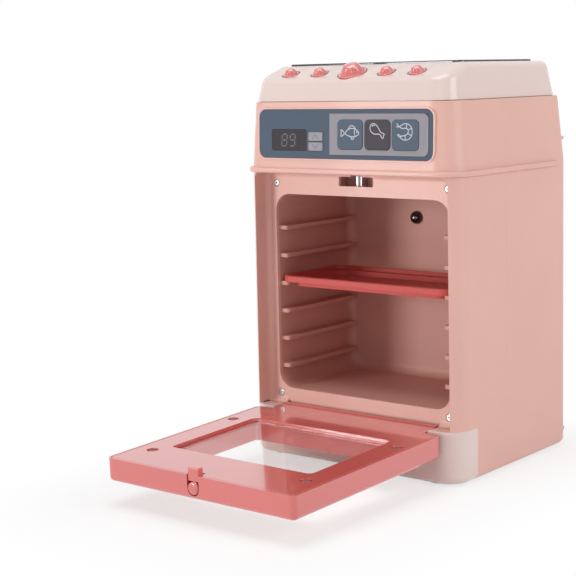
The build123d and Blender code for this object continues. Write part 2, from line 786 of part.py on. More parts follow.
with BuildPart() as door_inner_plate:
    extrude(door_outline(plate_low, door_wall / 2 + seat), amount=door_plate)
    fillet(door_inner_plate.faces().sort_by(Axis((0, 0, 0), door_normal))[-1].edges(), 0.5)
    # Collar under the window, with a stepped opening for the pane
    add(plate(door_plane.offset(collar_low), grown(window_x, 1.0), grown(window_v, 1.0), window_corner + 1,
              plate_low - collar_low))
    add(plate(door_plane.offset(door_inner - window_step_depth), window_x, window_v, window_corner, 5),
        mode=Mode.SUBTRACT)
    add(plate(door_plane.offset(pane_low), grown(window_x, pane_pocket), grown(window_v, pane_pocket),
              window_corner - 0.6, 10), mode=Mode.SUBTRACT)
    add(plate(door_plane.offset(collar_low - 1), grown(window_x, clear_inset), grown(window_v, clear_inset),
              window_corner - 1.4, 10), mode=Mode.SUBTRACT)
    for x, along in door_screw_spots:
        add(rod(on_door(x, along, well_bottom - well_floor), door_normal, well_radius + 1.0, 3.0))
        add(rod(on_door(x, along, well_bottom), door_normal, well_radius, 10), mode=Mode.SUBTRACT)
        add(rod(on_door(x, along, well_bottom - 5), door_normal, screw_radius + 0.15, 10), mode=Mode.SUBTRACT)
    # Notch for the latch hook
    add(plate(door_plane.offset(plate_low - 1), (latch_x - hook_half - 0.25, latch_x + hook_half + 0.25),
              (-door_high - 1, -hook_low + 1.6), 0, 10), mode=Mode.SUBTRACT)
    # Tongue and knuckle
    add(plate(door_plane.offset(-0.5), (-knuckle_half, knuckle_half), (-door_low - 4, 0), 0, door_inner + 0.5))
    add(rod(on_door(-knuckle_half, 0, 0), (1, 0, 0), knuckle_radius, 2 * knuckle_half))
    for side in (-1, 1):
        add(rod((side * (pin_inner - 0.5), hinge_y, hinge_z), (side, 0, 0), pin_radius + slip, 10),
            mode=Mode.SUBTRACT)
door_inner_plate.part.label = "door_inner_plate"
export_step(door_inner_plate.part, "parts/door_inner_plate.step")

with BuildPart() as window_pane:
    add(plate(door_plane.offset(pane_low), grown(window_x, pane_pocket - seat),
              grown(window_v, pane_pocket - seat), window_corner - 0.6, pane_thickness))
window_pane.part.label = "window_pane"
export_step(window_pane.part, "parts/window_pane.step")

with BuildPart() as door_screws:
    for x, along in door_screw_spots:
        add(screw(on_door(x, along, well_bottom + screw_head_height), -door_normal, 6.5))
door_screws.part.label = "door_screws"
export_step(door_screws.part, "parts/door_screws.step")

with BuildPart() as door_grip:
    add(plate(door_plane.offset(door_outer - grip_proud), (-grip_length / 2, grip_length / 2),
              (-grip_at - grip_height / 2, -grip_at + grip_height / 2), grip_height / 2 - 0.1, grip_proud))
    fillet(door_grip.faces().sort_by(Axis((0, 0, 0), door_normal))[0].edges(), 1.2)
door_grip.part.label = "door_grip"
export_step(door_grip.part, "parts/door_grip.step")

with BuildPart() as hinge_pins:
    for side in (-1, 1):
        add(rod((side * pin_inner, hinge_y, hinge_z), (side, 0, 0), pin_radius, pin_outer - pin_inner))
hinge_pins.part.label = "hinge_pins"
export_step(hinge_pins.part, "parts/hinge_pins.step")

# ---- Latch: a button in the door's free edge that carries a hook ----
button_length = 8.0
with BuildPart() as latch_button:
    face = on_door(latch_x, door_high + button_proud, 0)
    with BuildSketch(Plane(origin=face, x_dir=(1, 0, 0), z_dir=-free_way)):
        with Locations((0, -button_middle)):
            Circle(button_half)
    extrude(amount=button_length)
    fillet(latch_button.edges().sort_by(Axis((0, 0, 0), (-free_way)))[0], 1.2)
latch_button.part.label = "latch_button"
export_step(latch_button.part, "parts/latch_button.step")

with BuildPart() as latch_hook:
    # The tab that stands off the inner face, and its foot in the keyhole
    add(plate(door_plane.offset(button_top + slip), (latch_x - hook_half, latch_x + hook_half),
              (-hook_high, -hook_low), 0, door_inner + hook_reach - button_top - slip))
    # An arm inside the door that runs down behind the button
    arm = door_high + button_proud - button_length
    add(plate(door_plane.offset(button_top + slip), (latch_x - 2.4, latch_x + 2.4),
              (-hook_low, -arm + 1.5), 0, plate_low - 0.2 - button_top))
    add(plate(door_plane.offset(button_middle - 1.5), (latch_x - 2.4, latch_x + 2.4),
              (-arm, -arm + 1.5), 0, plate_low - 0.15 - button_middle + 1.5))
    fillet(latch_hook.faces().sort_by(Axis((0, 0, 0), door_normal))[-1].edges(), 0.5)
latch_hook.part.label = "latch_hook"
export_step(latch_hook.part, "parts/latch_hook.step")

# ---- Latch bracket behind the slot, with its steel pin and strip ----
bracket_low = cavity_high + liner_wall + 0.5
bracket_high = 149.6
bracket_back = panel_back + 9.0
pin_low = bracket_low + 0.8
pin_high = bracket_high - 0.8
with BuildPart() as latch_bracket:
    add(block((latch_x - slot_half - 3, latch_x + slot_half + 3), (panel_back, bracket_back),
              (bracket_low, bracket_high)))
    add(block((latch_x - slot_half - 1, latch_x + slot_half + 1), (panel_back - 1, bracket_back - bracket_wall),
              (bracket_low + bracket_wall, bracket_high - bracket_wall)), mode=Mode.SUBTRACT)
    # Blind slots that guide the pin's two ends
    pin_slot = (latch_pin_y - latch_pin_radius - seat, latch_pin_y + latch_pin_radius + latch_travel + seat)
    add(block((latch_pin_x - latch_pin_radius - slip, latch_pin_x + latch_pin_radius + slip), pin_slot,
              (pin_low - seat, pin_high + seat)), mode=Mode.SUBTRACT)
latch_bracket.part.label = "latch_bracket"
export_step(latch_bracket.part, "parts/latch_bracket.step")

with BuildPart() as latch_pin:
    add(rod((latch_pin_x, latch_pin_y, pin_low), (0, 0, 1), latch_pin_radius, pin_high - pin_low))
latch_pin.part.label = "latch_pin"
export_step(latch_pin.part, "parts/latch_pin.step")

with BuildPart() as latch_strip:
    strip_x = latch_pin_x + latch_pin_radius + 0.6
    add(block((strip_x, strip_x + 0.5), (latch_pin_y - 0.9, bracket_back - bracket_wall),
              (bracket_low + bracket_wall, bracket_high - bracket_wall)))
latch_strip.part.label = "latch_strip"
export_step(latch_strip.part, "parts/latch_strip.step")

# ---- Control panel ----
surround_x = (surround_left, surround_right)
surround_level = -fascia_sink + fascia_thickness - surround_thickness / 2
with BuildPart() as control_fascia:
    add(plate(upper_front.offset(-fascia_sink), fascia_x, fascia_v, fascia_corner, fascia_thickness))
    add(plate(upper_front.offset(surround_level), grown(surround_x, slip), grown(surround_v, slip), 0, 2),
        mode=Mode.SUBTRACT)
    add(plate(upper_front.offset(-3), grown(display_x, seat), grown(display_v, seat), display_corner, 6),
        mode=Mode.SUBTRACT)
    for span in key_spans.values():
        add(plate(upper_front.offset(-3), grown(span, seat), grown(key_v, seat), key_corner, 6),
            mode=Mode.SUBTRACT)
    for span in button_spans.values():
        add(plate(upper_front.offset(-3), grown(arrow_x, seat), grown((up(span[0]), up(span[1])), seat),
                  arrow_corner, 6), mode=Mode.SUBTRACT)
control_fascia.part.label = "control_fascia"
export_step(control_fascia.part, "parts/control_fascia.step")

with BuildPart() as key_surround:
    add(plate(upper_front.offset(surround_level), surround_x, surround_v, 0, surround_thickness))
    fillet(key_surround.edges().filter_by(Axis((0, 0, 0), upper_front.z_dir)).group_by(Axis.X)[-1],
           surround_corner)
    for span in key_spans.values():
        add(plate(upper_front.offset(-3), grown(span, seat), grown(key_v, seat), key_corner, 6),
            mode=Mode.SUBTRACT)
key_surround.part.label = "key_surround"
export_step(key_surround.part, "parts/key_surround.step")

flange_level = -fascia_sink - 0.1
flange_sheet = 0.9
stem_end = flange_level - flange_sheet - 1.1


def panel_button(x_span, v_span, corner, top):
    """A key: its cap through the fascia, a flange behind it and a stem towards its switch"""
    with BuildPart() as button:
        add(plate(upper_front.offset(flange_level - flange_sheet), x_span, v_span, corner,
                  top - flange_level + flange_sheet))
        fillet(button.faces().sort_by(Axis((0, 0, 0), upper_front.z_dir))[-1].edges(), 0.3)
        add(plate(upper_front.offset(flange_level - flange_sheet), grown(x_span, 0.35), grown(v_span, 0.22),
                  corner, flange_sheet - 0.2))
        middle = ((x_span[0] + x_span[1]) / 2, (v_span[0] + v_span[1]) / 2)
        add(rod(upper_front.from_local_coords((*middle, stem_end)), upper_front.z_dir, 1.2, 1.2))
    return button.part


for name, span in key_spans.items():
    with BuildPart() as key:
        add(panel_button(span, key_v, key_corner, key_proud))
    key.part.label = name
    export_step(key.part, f"parts/{name}.step")

for name, span in button_spans.items():
    with BuildPart() as arrow_button:
        add(panel_button(arrow_x, (up(span[0]), up(span[1])), arrow_corner, key_proud))
    arrow_button.part.label = name
    export_step(arrow_button.part, f"parts/{name}.step")

with BuildPart() as display_window:
    add(plate(upper_front.offset(-fascia_sink), display_x, display_v, display_corner, fascia_thickness))
    add(plate(upper_front.offset(-fascia_sink - 0.8), grown(display_x, 0.8), grown(display_v, 0.8),
              display_corner, 0.8))
display_window.part.label = "display_window"
export_step(display_window.part, "parts/display_window.step")

with BuildPart() as display_module:
    add(plate(upper_front.offset(board_level), grown(display_x, -1.0), grown(display_v, -1.0), 0,
              -board_level - fascia_sink - 0.8 - 0.3))
display_module.part.label = "display_module"
export_step(display_module.part, "parts/display_module.step")

with BuildPart() as control_board:
    add(plate(upper_front.offset(board_level - board_thickness), (board_left, board_right),
              (up(board_low), up(board_high)), 1.0, board_thickness))
    for x, v in board_bosses:
        hole = upper_front.from_local_coords((x, v, board_level - 3))
        add(rod(hole, upper_front.z_dir, screw_radius + 0.15, 5), mode=Mode.SUBTRACT)
control_board.part.label = "control_board"
export_step(control_board.part, "parts/control_board.step")

with BuildPart() as board_screws:
    for x, v in board_bosses:
        head = upper_front.from_local_coords((x, v, board_level - board_thickness - screw_head_height))
        add(screw(head, upper_front.z_dir, 4.0, radius=screw_radius - slip, head_radius=2.0))
board_screws.part.label = "board_screws"
export_step(board_screws.part, "parts/board_screws.step")

switch_spots = [((span[0] + span[1]) / 2, sum(key_v) / 2) for span in key_spans.values()]
switch_spots += [(sum(arrow_x) / 2, (up(span[0]) + up(span[1])) / 2) for span in button_spans.values()]
with BuildPart() as key_switches:
    for x, v in switch_spots:
        add(plate(upper_front.offset(board_level), (x - 2.0, x + 2.0), (v - 2.0, v + 2.0), 0, 1.6))
        add(rod(upper_front.from_local_coords((x, v, board_level + 1.6)), upper_front.z_dir, 0.9,
                stem_end - key_travel - 0.1 - board_level - 1.6))
key_switches.part.label = "key_switches"
export_step(key_switches.part, "parts/key_switches.step")

# ---- Top housing ----
draft = tan(radians(housing_draft))
front_draft = tan(radians(housing_front_draft))
housing_back = body_depth - back_lean - housing_inset
housing_front = front_lean + 1.0
housing_half = half_top - housing_inset


def housing_outline(z, inset=0.0):
    """The top housing's plan at a height"""
    rise = z - housing_low
    half = housing_half - draft * rise - inset
    front = housing_front + front_draft * rise + inset
    back = housing_back - draft * rise - inset
    with BuildSketch(Plane.XY.offset(z)) as outline:
        with BuildLine():
            Polyline((-half, front), (half, front), (half, back), (-half, back), close=True)
        make_face()
        fillet(outline.vertices(), housing_corner - inset)
    return outline.sketch


def slope_plane(x=0.0, level=0.0):
    """A plane on the knob slope, with its origin across the housing at x"""
    return Plane(
        origin=(x, slope_y, slope_z),
        x_dir=(1, 0, 0),
        z_dir=(0, -sin(radians(slope_angle)), cos(radians(slope_angle))),
    ).offset(level)


def housing_block(low, high, inset, sink):
    """The housing's solid form, with the knob slope cut across its front"""
    with BuildPart() as solid:
        loft(sections=[housing_outline(low, inset), housing_outline(high, inset)], ruled=True)
        split(bisect_by=slope_plane(0, -sink), keep=Keep.BOTTOM)
    return solid.part


knobs = []
for number, shift in enumerate(knob_offsets, start=1):
    shape = knob_small if shift else knob_large
    knobs.append((number, knob_middle + shift, shape))

with BuildPart() as top_housing:
    add(housing_block(housing_low, housing_top, 0.0, 0.0))
    upper_faces = top_housing.faces().filter_by(lambda face: face.normal_at().Z > 0.9)
    fillet(upper_faces.edges(), housing_round)
    add(housing_block(housing_low - 1, housing_top - housing_ceiling, housing_wall, housing_wall),
        mode=Mode.SUBTRACT)
    # Lip that drops inside the body's top edge
    lip_outside = body_outline(housing_low, wall + 2 * seat)
    lip_inside = body_outline(housing_low, wall + 2 * seat + lip_wall)
    extrude(lip_outside, amount=-lip_depth)
    extrude(lip_inside, amount=-lip_depth, mode=Mode.SUBTRACT)
    for x, y in top_tab_spots:
        add(rod((x, y, top_tab_high), (0, 0, 1), 3.0, housing_top - 1.9 - top_tab_high))
        add(rod((x, y, top_tab_high - 1), (0, 0, 1), screw_radius + slip, 10), mode=Mode.SUBTRACT)
    add(plate(Plane.XY.offset(hob_top - hob_thickness), (-hob_half - seat, hob_half + seat),
              (hob_front - seat, hob_back + seat), hob_corner + seat, 10), mode=Mode.SUBTRACT)
    for number, x, shape in knobs:
        with BuildSketch(slope_plane(x, -knob_sink)):
            Circle(shape[0] + knob_gap)
        extrude(amount=10, mode=Mode.SUBTRACT)
        with BuildSketch(slope_plane(x, -10)):
            Circle(spindle_radius + slip)
        extrude(amount=20, mode=Mode.SUBTRACT)
top_housing.part.label = "top_housing"
export_step(top_housing.part, "parts/top_housing.step")

with BuildPart() as top_screws:
    for x, y in top_tab_spots:
        add(screw((x, y, top_tab_low - screw_head_height), (0, 0, 1), 9.0))
top_screws.part.label = "top_screws"
export_step(top_screws.part, "parts/top_screws.step")

with BuildPart() as hob_plate:
    add(plate(Plane.XY.offset(hob_top - hob_thickness), (-hob_half, hob_half), (hob_front, hob_back),
              hob_corner, hob_thickness))
    fillet(hob_plate.faces().sort_by(Axis.Z)[-1].edges(), 0.5)
hob_plate.part.label = "hob_plate"
export_step(hob_plate.part, "parts/hob_plate.step")

# ---- Knobs with their spindles, and the clips that hold them from below ----
spindle_end = -housing_wall - clip_thickness - 1.4
for number, x, shape in knobs:
    base_radius, tip_radius, height = shape
    with BuildPart() as knob:
        with BuildSketch(slope_plane(x, -knob_sink + seat)):
            Circle(base_radius)
        extrude(amount=knob_sink + 0.2)
        with BuildSketch(slope_plane(x, 0.2)):
            RegularPolygon(base_radius - 0.2, knob_sides)
        with BuildSketch(slope_plane(x, height * 0.62)):
            RegularPolygon(tip_radius * 1.25, knob_sides)
        loft()
        with BuildSketch(slope_plane(x, height * 0.62)):
            Circle(tip_radius * 1.15)
        extrude(amount=height * 0.38)
        fillet(knob.edges().sort_by(Axis((0, 0, 0), slope_plane().z_dir))[-1], height * 0.25)
        with BuildSketch(slope_plane(x, spindle_end)):
            Circle(spindle_radius)
        extrude(amount=-spindle_end)
    knob.part.label = f"knob_{number}"
    export_step(knob.part, f"parts/knob_{number}.step")
    with BuildPart() as knob_clip:
        with BuildSketch(slope_plane(x, -housing_wall - 0.2 - clip_thickness)):
            Circle(clip_radius)
            Circle(spindle_radius, mode=Mode.SUBTRACT)
        extrude(amount=clip_thickness)
    knob_clip.part.label = f"knob_clip_{number}"
    export_step(knob_clip.part, f"parts/knob_clip_{number}.step")

# ---- Battery box, contacts, cells and cover ----
with BuildPart() as battery_box:
    add(block((-bay_half - bay_wall, bay_half + bay_wall), (bay_front - bay_wall, back_inner),
              (bay_low - bay_wall, bay_high + bay_wall)))
    add(block((-bay_half, bay_half), (bay_front, back_inner + 1), (bay_low, bay_high)), mode=Mode.SUBTRACT)
    add(rod((0, back_inner - 9, cover_screw_z), (0, 1, 0), 2.6, 9.0))
    add(block((-1, 1), (back_inner - 9, back_inner), (bay_high, cover_screw_z)))
    add(rod((0, back_inner - 8, cover_screw_z), (0, 1, 0), screw_radius + slip, 10), mode=Mode.SUBTRACT)
battery_box.part.label = "battery_box"
export_step(battery_box.part, "parts/battery_box.step")

cell_y = (bay_front + back_inner) / 2
cell_low = bay_low + (bay_height - cell_length - nub_length) / 2
cell_xs = [(k - (cell_count - 1) / 2) * cell_pitch for k in range(cell_count)]
with BuildPart() as battery_cells:
    for k, x in enumerate(cell_xs):
        low = cell_low + nub_length * (k % 2)
        add(rod((x, cell_y, low), (0, 0, 1), cell_radius, cell_length))
        nub_z = low - nub_length if k % 2 else low + cell_length
        add(rod((x, cell_y, nub_z), (0, 0, 1), nub_radius, nub_length))
battery_cells.part.label = "battery_cells"
export_step(battery_cells.part, "parts/battery_cells.step")

leaf_rise = (bay_height - cell_length - nub_length) / 2
with BuildPart() as battery_contacts:
    for x in cell_xs:
        for wall_z, way in ((bay_low, 1), (bay_high, -1)):
            with BuildSketch(Plane.YZ.offset(x - 2.5)):
                with BuildLine():
                    Polyline(
                        (cell_y - 5, wall_z),
                        (cell_y + 5, wall_z),
                        (cell_y + 5, wall_z + way * contact_thickness),
                        (cell_y + 4, wall_z + way * contact_thickness),
                        (cell_y, wall_z + way * leaf_rise),
                        (cell_y - 4, wall_z + way * contact_thickness),
                        (cell_y - 5, wall_z + way * contact_thickness),
                        close=True,
                    )
                make_face()
            extrude(amount=5.0)
battery_contacts.part.label = "battery_contacts"
export_step(battery_contacts.part, "parts/battery_contacts.step")

with BuildPart() as battery_cover:
    add(plate(back_outer_plane, (-cover_half, cover_half),
              (cover_low, cover_high), 2.0, cover_thickness))
    # Grip ridges for a thumb, and the screw's seat
    for k in range(4):
        add(block((-9, 9), (body_depth, body_depth + 0.6), (bay_low + 3 + 2.4 * k, bay_low + 4.2 + 2.4 * k)))
    add(rod((0, body_depth + 1, cover_screw_z), (0, -1, 0), screw_radius + 0.15, 5), mode=Mode.SUBTRACT)
battery_cover.part.label = "battery_cover"
export_step(battery_cover.part, "parts/battery_cover.step")

with BuildPart() as cover_screw:
    add(screw((0, body_depth + screw_head_height, cover_screw_z), (0, -1, 0), 8.0, radius=screw_radius - slip))
cover_screw.part.label = "cover_screw"
export_step(cover_screw.part, "parts/cover_screw.step")

# ---- Speaker ----
with BuildPart() as speaker:
    with BuildSketch(Plane.XZ.offset(-back_inner)):
        with Locations(speaker_spot):
            Circle(speaker_radius)
            Circle(speaker_radius - 3, mode=Mode.SUBTRACT)
    extrude(amount=1.4)
    with BuildSketch(Plane.XZ.offset(-back_inner + 1.4)):
        with Locations(speaker_spot):
            Circle(speaker_radius)
    with BuildSketch(Plane.XZ.offset(-back_inner + 7)):
        with Locations(speaker_spot):
            Circle(speaker_radius * 0.6)
    loft()
    with BuildSketch(Plane.XZ.offset(-back_inner + 7)):
        with Locations(speaker_spot):
            Circle(speaker_radius * 0.55)
    extrude(amount=4.5)
speaker.part.label = "speaker"
export_step(speaker.part, "parts/speaker.step")

# ---- Power switch ----
switch_half = 8.0
slider_half = 2.0
slider_rest = switch_x - switch_travel / 2
with BuildPart() as power_switch:
    add(block((switch_x - switch_half, switch_x + switch_half), (back_inner - 6, back_inner),
              (switch_z - 4, switch_z + 4)))
    track = grown((switch_x, switch_x), slider_half + 1 + switch_travel / 2 + room)
    add(block(track, (back_inner - 3, back_inner + 1), (switch_z - 2.8, switch_z + 2.8)), mode=Mode.SUBTRACT)
power_switch.part.label = "power_switch"
export_step(power_switch.part, "parts/power_switch.step")

with BuildPart() as power_slider:
    add(block(grown((slider_rest, slider_rest), slider_half + 1), (back_inner - 2.9, back_inner - 0.1),
              (switch_z - 2.6, switch_z + 2.6)))
    add(block((slider_rest - slider_half, slider_rest + slider_half), (back_inner - 0.2, body_depth + 1.2),
              (switch_z - 1.7, switch_z + 1.7)))
power_slider.part.label = "power_slider"
export_step(power_slider.part, "parts/power_slider.step")
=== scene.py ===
# %% [markdown]
# # A toy oven, dressed for its picture
# The oven is moulded in four plastics: dusty pink for the body, cream for the top and the
# skirt, coral for the door, tray and knobs, and blue-grey for the control panel. Its shape is
# already fixed by the CAD model. This lesson loads that model, gives every piece its finish,
# models the small pieces that need a maker's care, and sets up a plain studio round it.

# %% Load the model and note its box
import math

import bpy
from mathutils import Matrix, Vector


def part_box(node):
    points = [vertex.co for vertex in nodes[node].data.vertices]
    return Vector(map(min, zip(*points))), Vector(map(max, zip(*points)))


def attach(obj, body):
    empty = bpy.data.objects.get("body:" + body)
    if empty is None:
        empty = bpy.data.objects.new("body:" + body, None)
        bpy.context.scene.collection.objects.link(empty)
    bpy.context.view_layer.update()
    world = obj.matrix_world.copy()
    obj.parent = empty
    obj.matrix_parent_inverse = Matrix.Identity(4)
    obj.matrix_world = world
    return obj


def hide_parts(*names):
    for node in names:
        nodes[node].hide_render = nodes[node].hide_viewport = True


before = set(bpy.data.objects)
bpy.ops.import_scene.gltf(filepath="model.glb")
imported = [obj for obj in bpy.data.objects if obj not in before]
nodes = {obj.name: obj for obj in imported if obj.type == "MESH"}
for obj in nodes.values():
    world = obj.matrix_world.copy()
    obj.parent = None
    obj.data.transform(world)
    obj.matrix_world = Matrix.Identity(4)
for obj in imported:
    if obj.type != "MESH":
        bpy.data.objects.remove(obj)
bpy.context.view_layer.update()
MM = 0.001


def deselect():
    """Operators act on all that is selected, so each step starts with nothing"""
    bpy.ops.object.select_all(action="DESELECT")


deselect()

# %% [markdown]
# ## The camera
# The picture was taken from the right, a little above the oven's middle, with a long lens. A
# camera's local axes are right, up and backwards, so its place is one matrix whose columns are
# those three directions. Building the matrix by hand keeps the small roll of the real camera.

# %% Camera
CAMERA_TURN = math.radians(39.26)
CAMERA_PITCH = math.radians(8.34)
CAMERA_ROLL = math.radians(-1.32)
CAMERA_PLACE = Vector((421.18, -559.49, 194.60)) * MM
CAMERA_LENS = 90.62


def make_camera():
    forward = Vector((
        -math.sin(CAMERA_TURN) * math.cos(CAMERA_PITCH),
        math.cos(CAMERA_TURN) * math.cos(CAMERA_PITCH),
        -math.sin(CAMERA_PITCH),
    ))
    level = Vector((math.cos(CAMERA_TURN), math.sin(CAMERA_TURN), 0))
    above = level.cross(forward)
    right = level * math.cos(CAMERA_ROLL) + above * math.sin(CAMERA_ROLL)
    up = above * math.cos(CAMERA_ROLL) - level * math.sin(CAMERA_ROLL)
    bpy.ops.object.camera_add()
    camera = bpy.context.object
    camera.name = "camera"
    axes = Matrix((right, up, -forward)).transposed().to_4x4()
    camera.matrix_world = Matrix.Translation(CAMERA_PLACE) @ axes
    camera.data.lens = CAMERA_LENS
    camera.data.clip_start = 0.01
    bpy.context.scene.camera = camera
    return camera


camera = make_camera()
bpy.context.scene.view_settings.view_transform = "Standard"
print("camera lens", camera.data.lens, "mm")

# %% [markdown]
# ## Shader sums in Python
# A material is a graph of nodes, and long sums are hard to read as a graph. `Flow` wraps one
# socket, so that `1 - mask * 0.5` adds the Math nodes for that sum. `Finish` is one material:
# its `node` method adds any node, sets its settings first and then its sockets.


# %% The two classes
class Flow:
    """A socket that can be used in a sum"""

    def __init__(self, finish, socket):
        self.finish = finish
        self.socket = socket

    def sum(self, operation, *values):
        return self.finish.node("Math", {"operation": operation}, dict(enumerate(values)))

    def __add__(self, other):
        return self.sum("ADD", self, other)

    def __radd__(self, other):
        return self.sum("ADD", other, self)

    def __sub__(self, other):
        return self.sum("SUBTRACT", self, other)

    def __rsub__(self, other):
        return self.sum("SUBTRACT", other, self)

    def __mul__(self, other):
        return self.sum("MULTIPLY", self, other)

    def __rmul__(self, other):
        return self.sum("MULTIPLY", other, self)

    def __truediv__(self, other):
        return self.sum("DIVIDE", self, other)

    def __pow__(self, other):
        return self.sum("POWER", self, other)

    def __lt__(self, other):
        return self.sum("LESS_THAN", self, other)

    def __gt__(self, other):
        return self.sum("GREATER_THAN", self, other)

    def __abs__(self):
        return self.sum("ABSOLUTE", self)

    def clamped(self):
        """Held between 0 and 1"""
        return self.sum("MINIMUM", self.sum("MAXIMUM", self, 0.0), 1.0)

    def larger(self, other):
        return self.sum("MAXIMUM", self, other)


class Finish:
    """One material, or the world, built node by node"""

    def __init__(self, name, owner=None):
        self.owner = owner or bpy.data.materials.new(name)
        self.owner.use_nodes = True
        self.tree = self.owner.node_tree
        self.tree.nodes.clear()

    def node(self, kind, settings=None, sockets=None, output=0):
        """Adds a node: its settings, then its sockets' values or links. Returns one output"""
        made = self.tree.nodes.new("ShaderNode" + kind)
        for name, value in (settings or {}).items():
            setattr(made, name, value)
        for name, value in (sockets or {}).items():
            if isinstance(value, Flow):
                self.tree.links.new(value.socket, made.inputs[name])
            else:
                made.inputs[name].default_value = value
        return Flow(self, made.outputs[output])

    def mix(self, factor, first, second):
        """A colour between two colours"""
        return self.node("Mix", {"data_type": "RGBA"}, {0: factor, 6: first, 7: second}, output=2)

    def close(self, shader, output="OutputMaterial"):
        """Joins a shader to the output and returns the material or world"""
        out = self.tree.nodes.new("ShaderNode" + output)
        self.tree.links.new(shader.socket, out.inputs["Surface"])
        return self.owner


def tone(red, green, blue):
    """A colour picked on a screen, 0 to 255, as the linear colour a shader needs"""
    linear = []
    for channel in (red, green, blue):
        part = channel / 255
        linear.append(part / 12.92 if part <= 0.04045 else ((part + 0.055) / 1.055) ** 2.4)
    return (*linear, 1.0)


def scaled(colour, factor):
    """A lighter or darker version of a colour"""
    return tuple(min(1.0, channel * factor) for channel in colour[:3]) + (1.0,)


print("a mid grey is", [round(channel, 3) for channel in tone(128, 128, 128)])

# %% [markdown]
# ## Moulded plastic
# Every coloured piece is injection-moulded plastic with a satin gloss. Real mouldings aren't one
# flat colour: the melt leaves soft clouds and the polished steel of the mould leaves a fine orange
# peel. The corners get a painted highlight, a paler colour. The Bevel node rounds the sharp
# edges of the CAD model in the shading, and its difference from the true normal finds the corners.


# %% A recipe for moulded plastic
def moulded(name, colour, roughness, coat, round_edge, clouds, peel, bend):
    """Satin plastic: round_edge is in millimetres, clouds and peel are strengths, bend is the IOR"""
    finish = Finish(name)
    place = finish.node("TexCoord", output="Object")
    cloud = finish.node("TexNoise", None, {"Vector": place, "Scale": 26.0, "Detail": 3.0})
    orange_peel = finish.node("TexNoise", None, {"Vector": place, "Scale": 850.0, "Detail": 2.0})
    speck = finish.node("TexNoise", None, {"Vector": place, "Scale": 3200.0, "Detail": 1.0})
    rounded = finish.node("Bevel", {"samples": 4}, {"Radius": round_edge * MM})
    true_normal = finish.node("NewGeometry", output="Normal")
    agreement = finish.node(
        "VectorMath", {"operation": "DOT_PRODUCT"}, {0: rounded, 1: true_normal}, output="Value")
    # Painted highlight: the corners are made paler in the base colour, and a little rougher
    edge_highlight = ((1 - agreement) * 5.0 * (cloud + 0.3)).clamped()
    pale = scaled(colour, 1 + clouds)
    deep = scaled(colour, 1 - clouds)
    body = finish.mix(cloud, deep, pale)
    body = finish.mix(speck * 0.10, body, scaled(colour, 1.12))
    body = finish.mix(edge_highlight * 0.35, body, scaled(colour, 1.25))
    gloss = roughness + (cloud - 0.5) * 0.10 + (speck - 0.5) * 0.06 + edge_highlight * 0.06
    skin = finish.node("Bump", None, {
        "Strength": peel, "Distance": 0.05 * MM, "Height": orange_peel, "Normal": rounded,
    })
    shader = finish.node("BsdfPrincipled", None, {
        "Base Color": body, "Roughness": gloss, "Normal": skin,
        "Coat Weight": coat, "Coat Roughness": 0.06, "Coat IOR": bend, "IOR": bend,
    })
    return finish.close(shader)


PLASTICS = {  # colour, roughness, coat, rounded edge, clouds, orange peel, IOR
    "pink_plastic": ((221, 174, 162), 0.42, 0.12, 0.35, 0.05, 0.12, 1.42),
    # The cavity liner's pink is the body's pink made darker: painted shade for the deep cavity
    "shaded_cavity_pink": ((206, 155, 142), 0.50, 0.0, 0.35, 0.05, 0.12, 1.40),
    "cream_plastic": ((221, 200, 194), 0.20, 0.4, 0.35, 0.03, 0.04, 1.40),
    "coral_plastic": ((208, 94, 89), 0.20, 0.9, 0.20, 0.04, 0.05, 1.65),
    "tray_plastic": ((200, 88, 82), 0.55, 0.0, 0.35, 0.04, 0.12, 1.36),
    "panel_blue": ((82, 94, 110), 0.60, 0.0, 0.20, 0.04, 0.12, 1.25),
    "plate_grey": ((150, 147, 153), 0.60, 0.0, 0.15, 0.03, 0.12, 1.25),
    "key_blue": ((88, 100, 116), 0.60, 0.0, 0.25, 0.04, 0.12, 1.25),
    "key_grey": ((76, 72, 78), 0.60, 0.0, 0.25, 0.04, 0.12, 1.25),
    "arrow_grey": ((156, 153, 160), 0.60, 0.0, 0.25, 0.03, 0.12, 1.25),
    "smoked_window": ((62, 58, 63), 0.60, 0.0, 0.15, 0.02, 0.12, 1.25),
    "black_plastic": ((38, 37, 40), 0.45, 0.0, 0.35, 0.10, 0.12, 1.50),
}
plastic = {name: moulded(name, tone(*colour), *values) for name, (colour, *values) in PLASTICS.items()}
print("plastics made:", len(bpy.data.materials))

# %% [markdown]
# ## Steel, rubber and the lamp lens
# The screws, hinge pins and catch are drawn or stamped steel. A thin noise that is stretched
# along one axis gives the drawn lines, and it moves the roughness as well as the surface. The
# feet are foam rubber with open pores, and the lamp is a black dome with a hard polish.


# %% Metal and rubber
def drawn_steel():
    finish = Finish("drawn_steel")
    place = finish.node("TexCoord", output="Object")
    grained = finish.node("Mapping", None, {"Vector": place, "Scale": (900.0, 900.0, 90.0)})
    lines = finish.node("TexNoise", None, {"Vector": grained, "Scale": 1.0, "Detail": 4.0})
    stain = finish.node("TexNoise", None, {"Vector": place, "Scale": 180.0, "Detail": 2.0})
    rounded = finish.node("Bevel", {"samples": 4}, {"Radius": 0.12 * MM})
    colour = finish.mix(stain, tone(168, 167, 170), tone(205, 204, 206))
    surface = finish.node("Bump", None, {
        "Strength": 0.15, "Distance": 0.03 * MM, "Height": lines, "Normal": rounded,
    })
    shader = finish.node("BsdfPrincipled", None, {
        "Base Color": colour, "Metallic": 1.0, "Roughness": 0.24 + lines * 0.20, "Normal": surface,
    })
    return finish.close(shader)


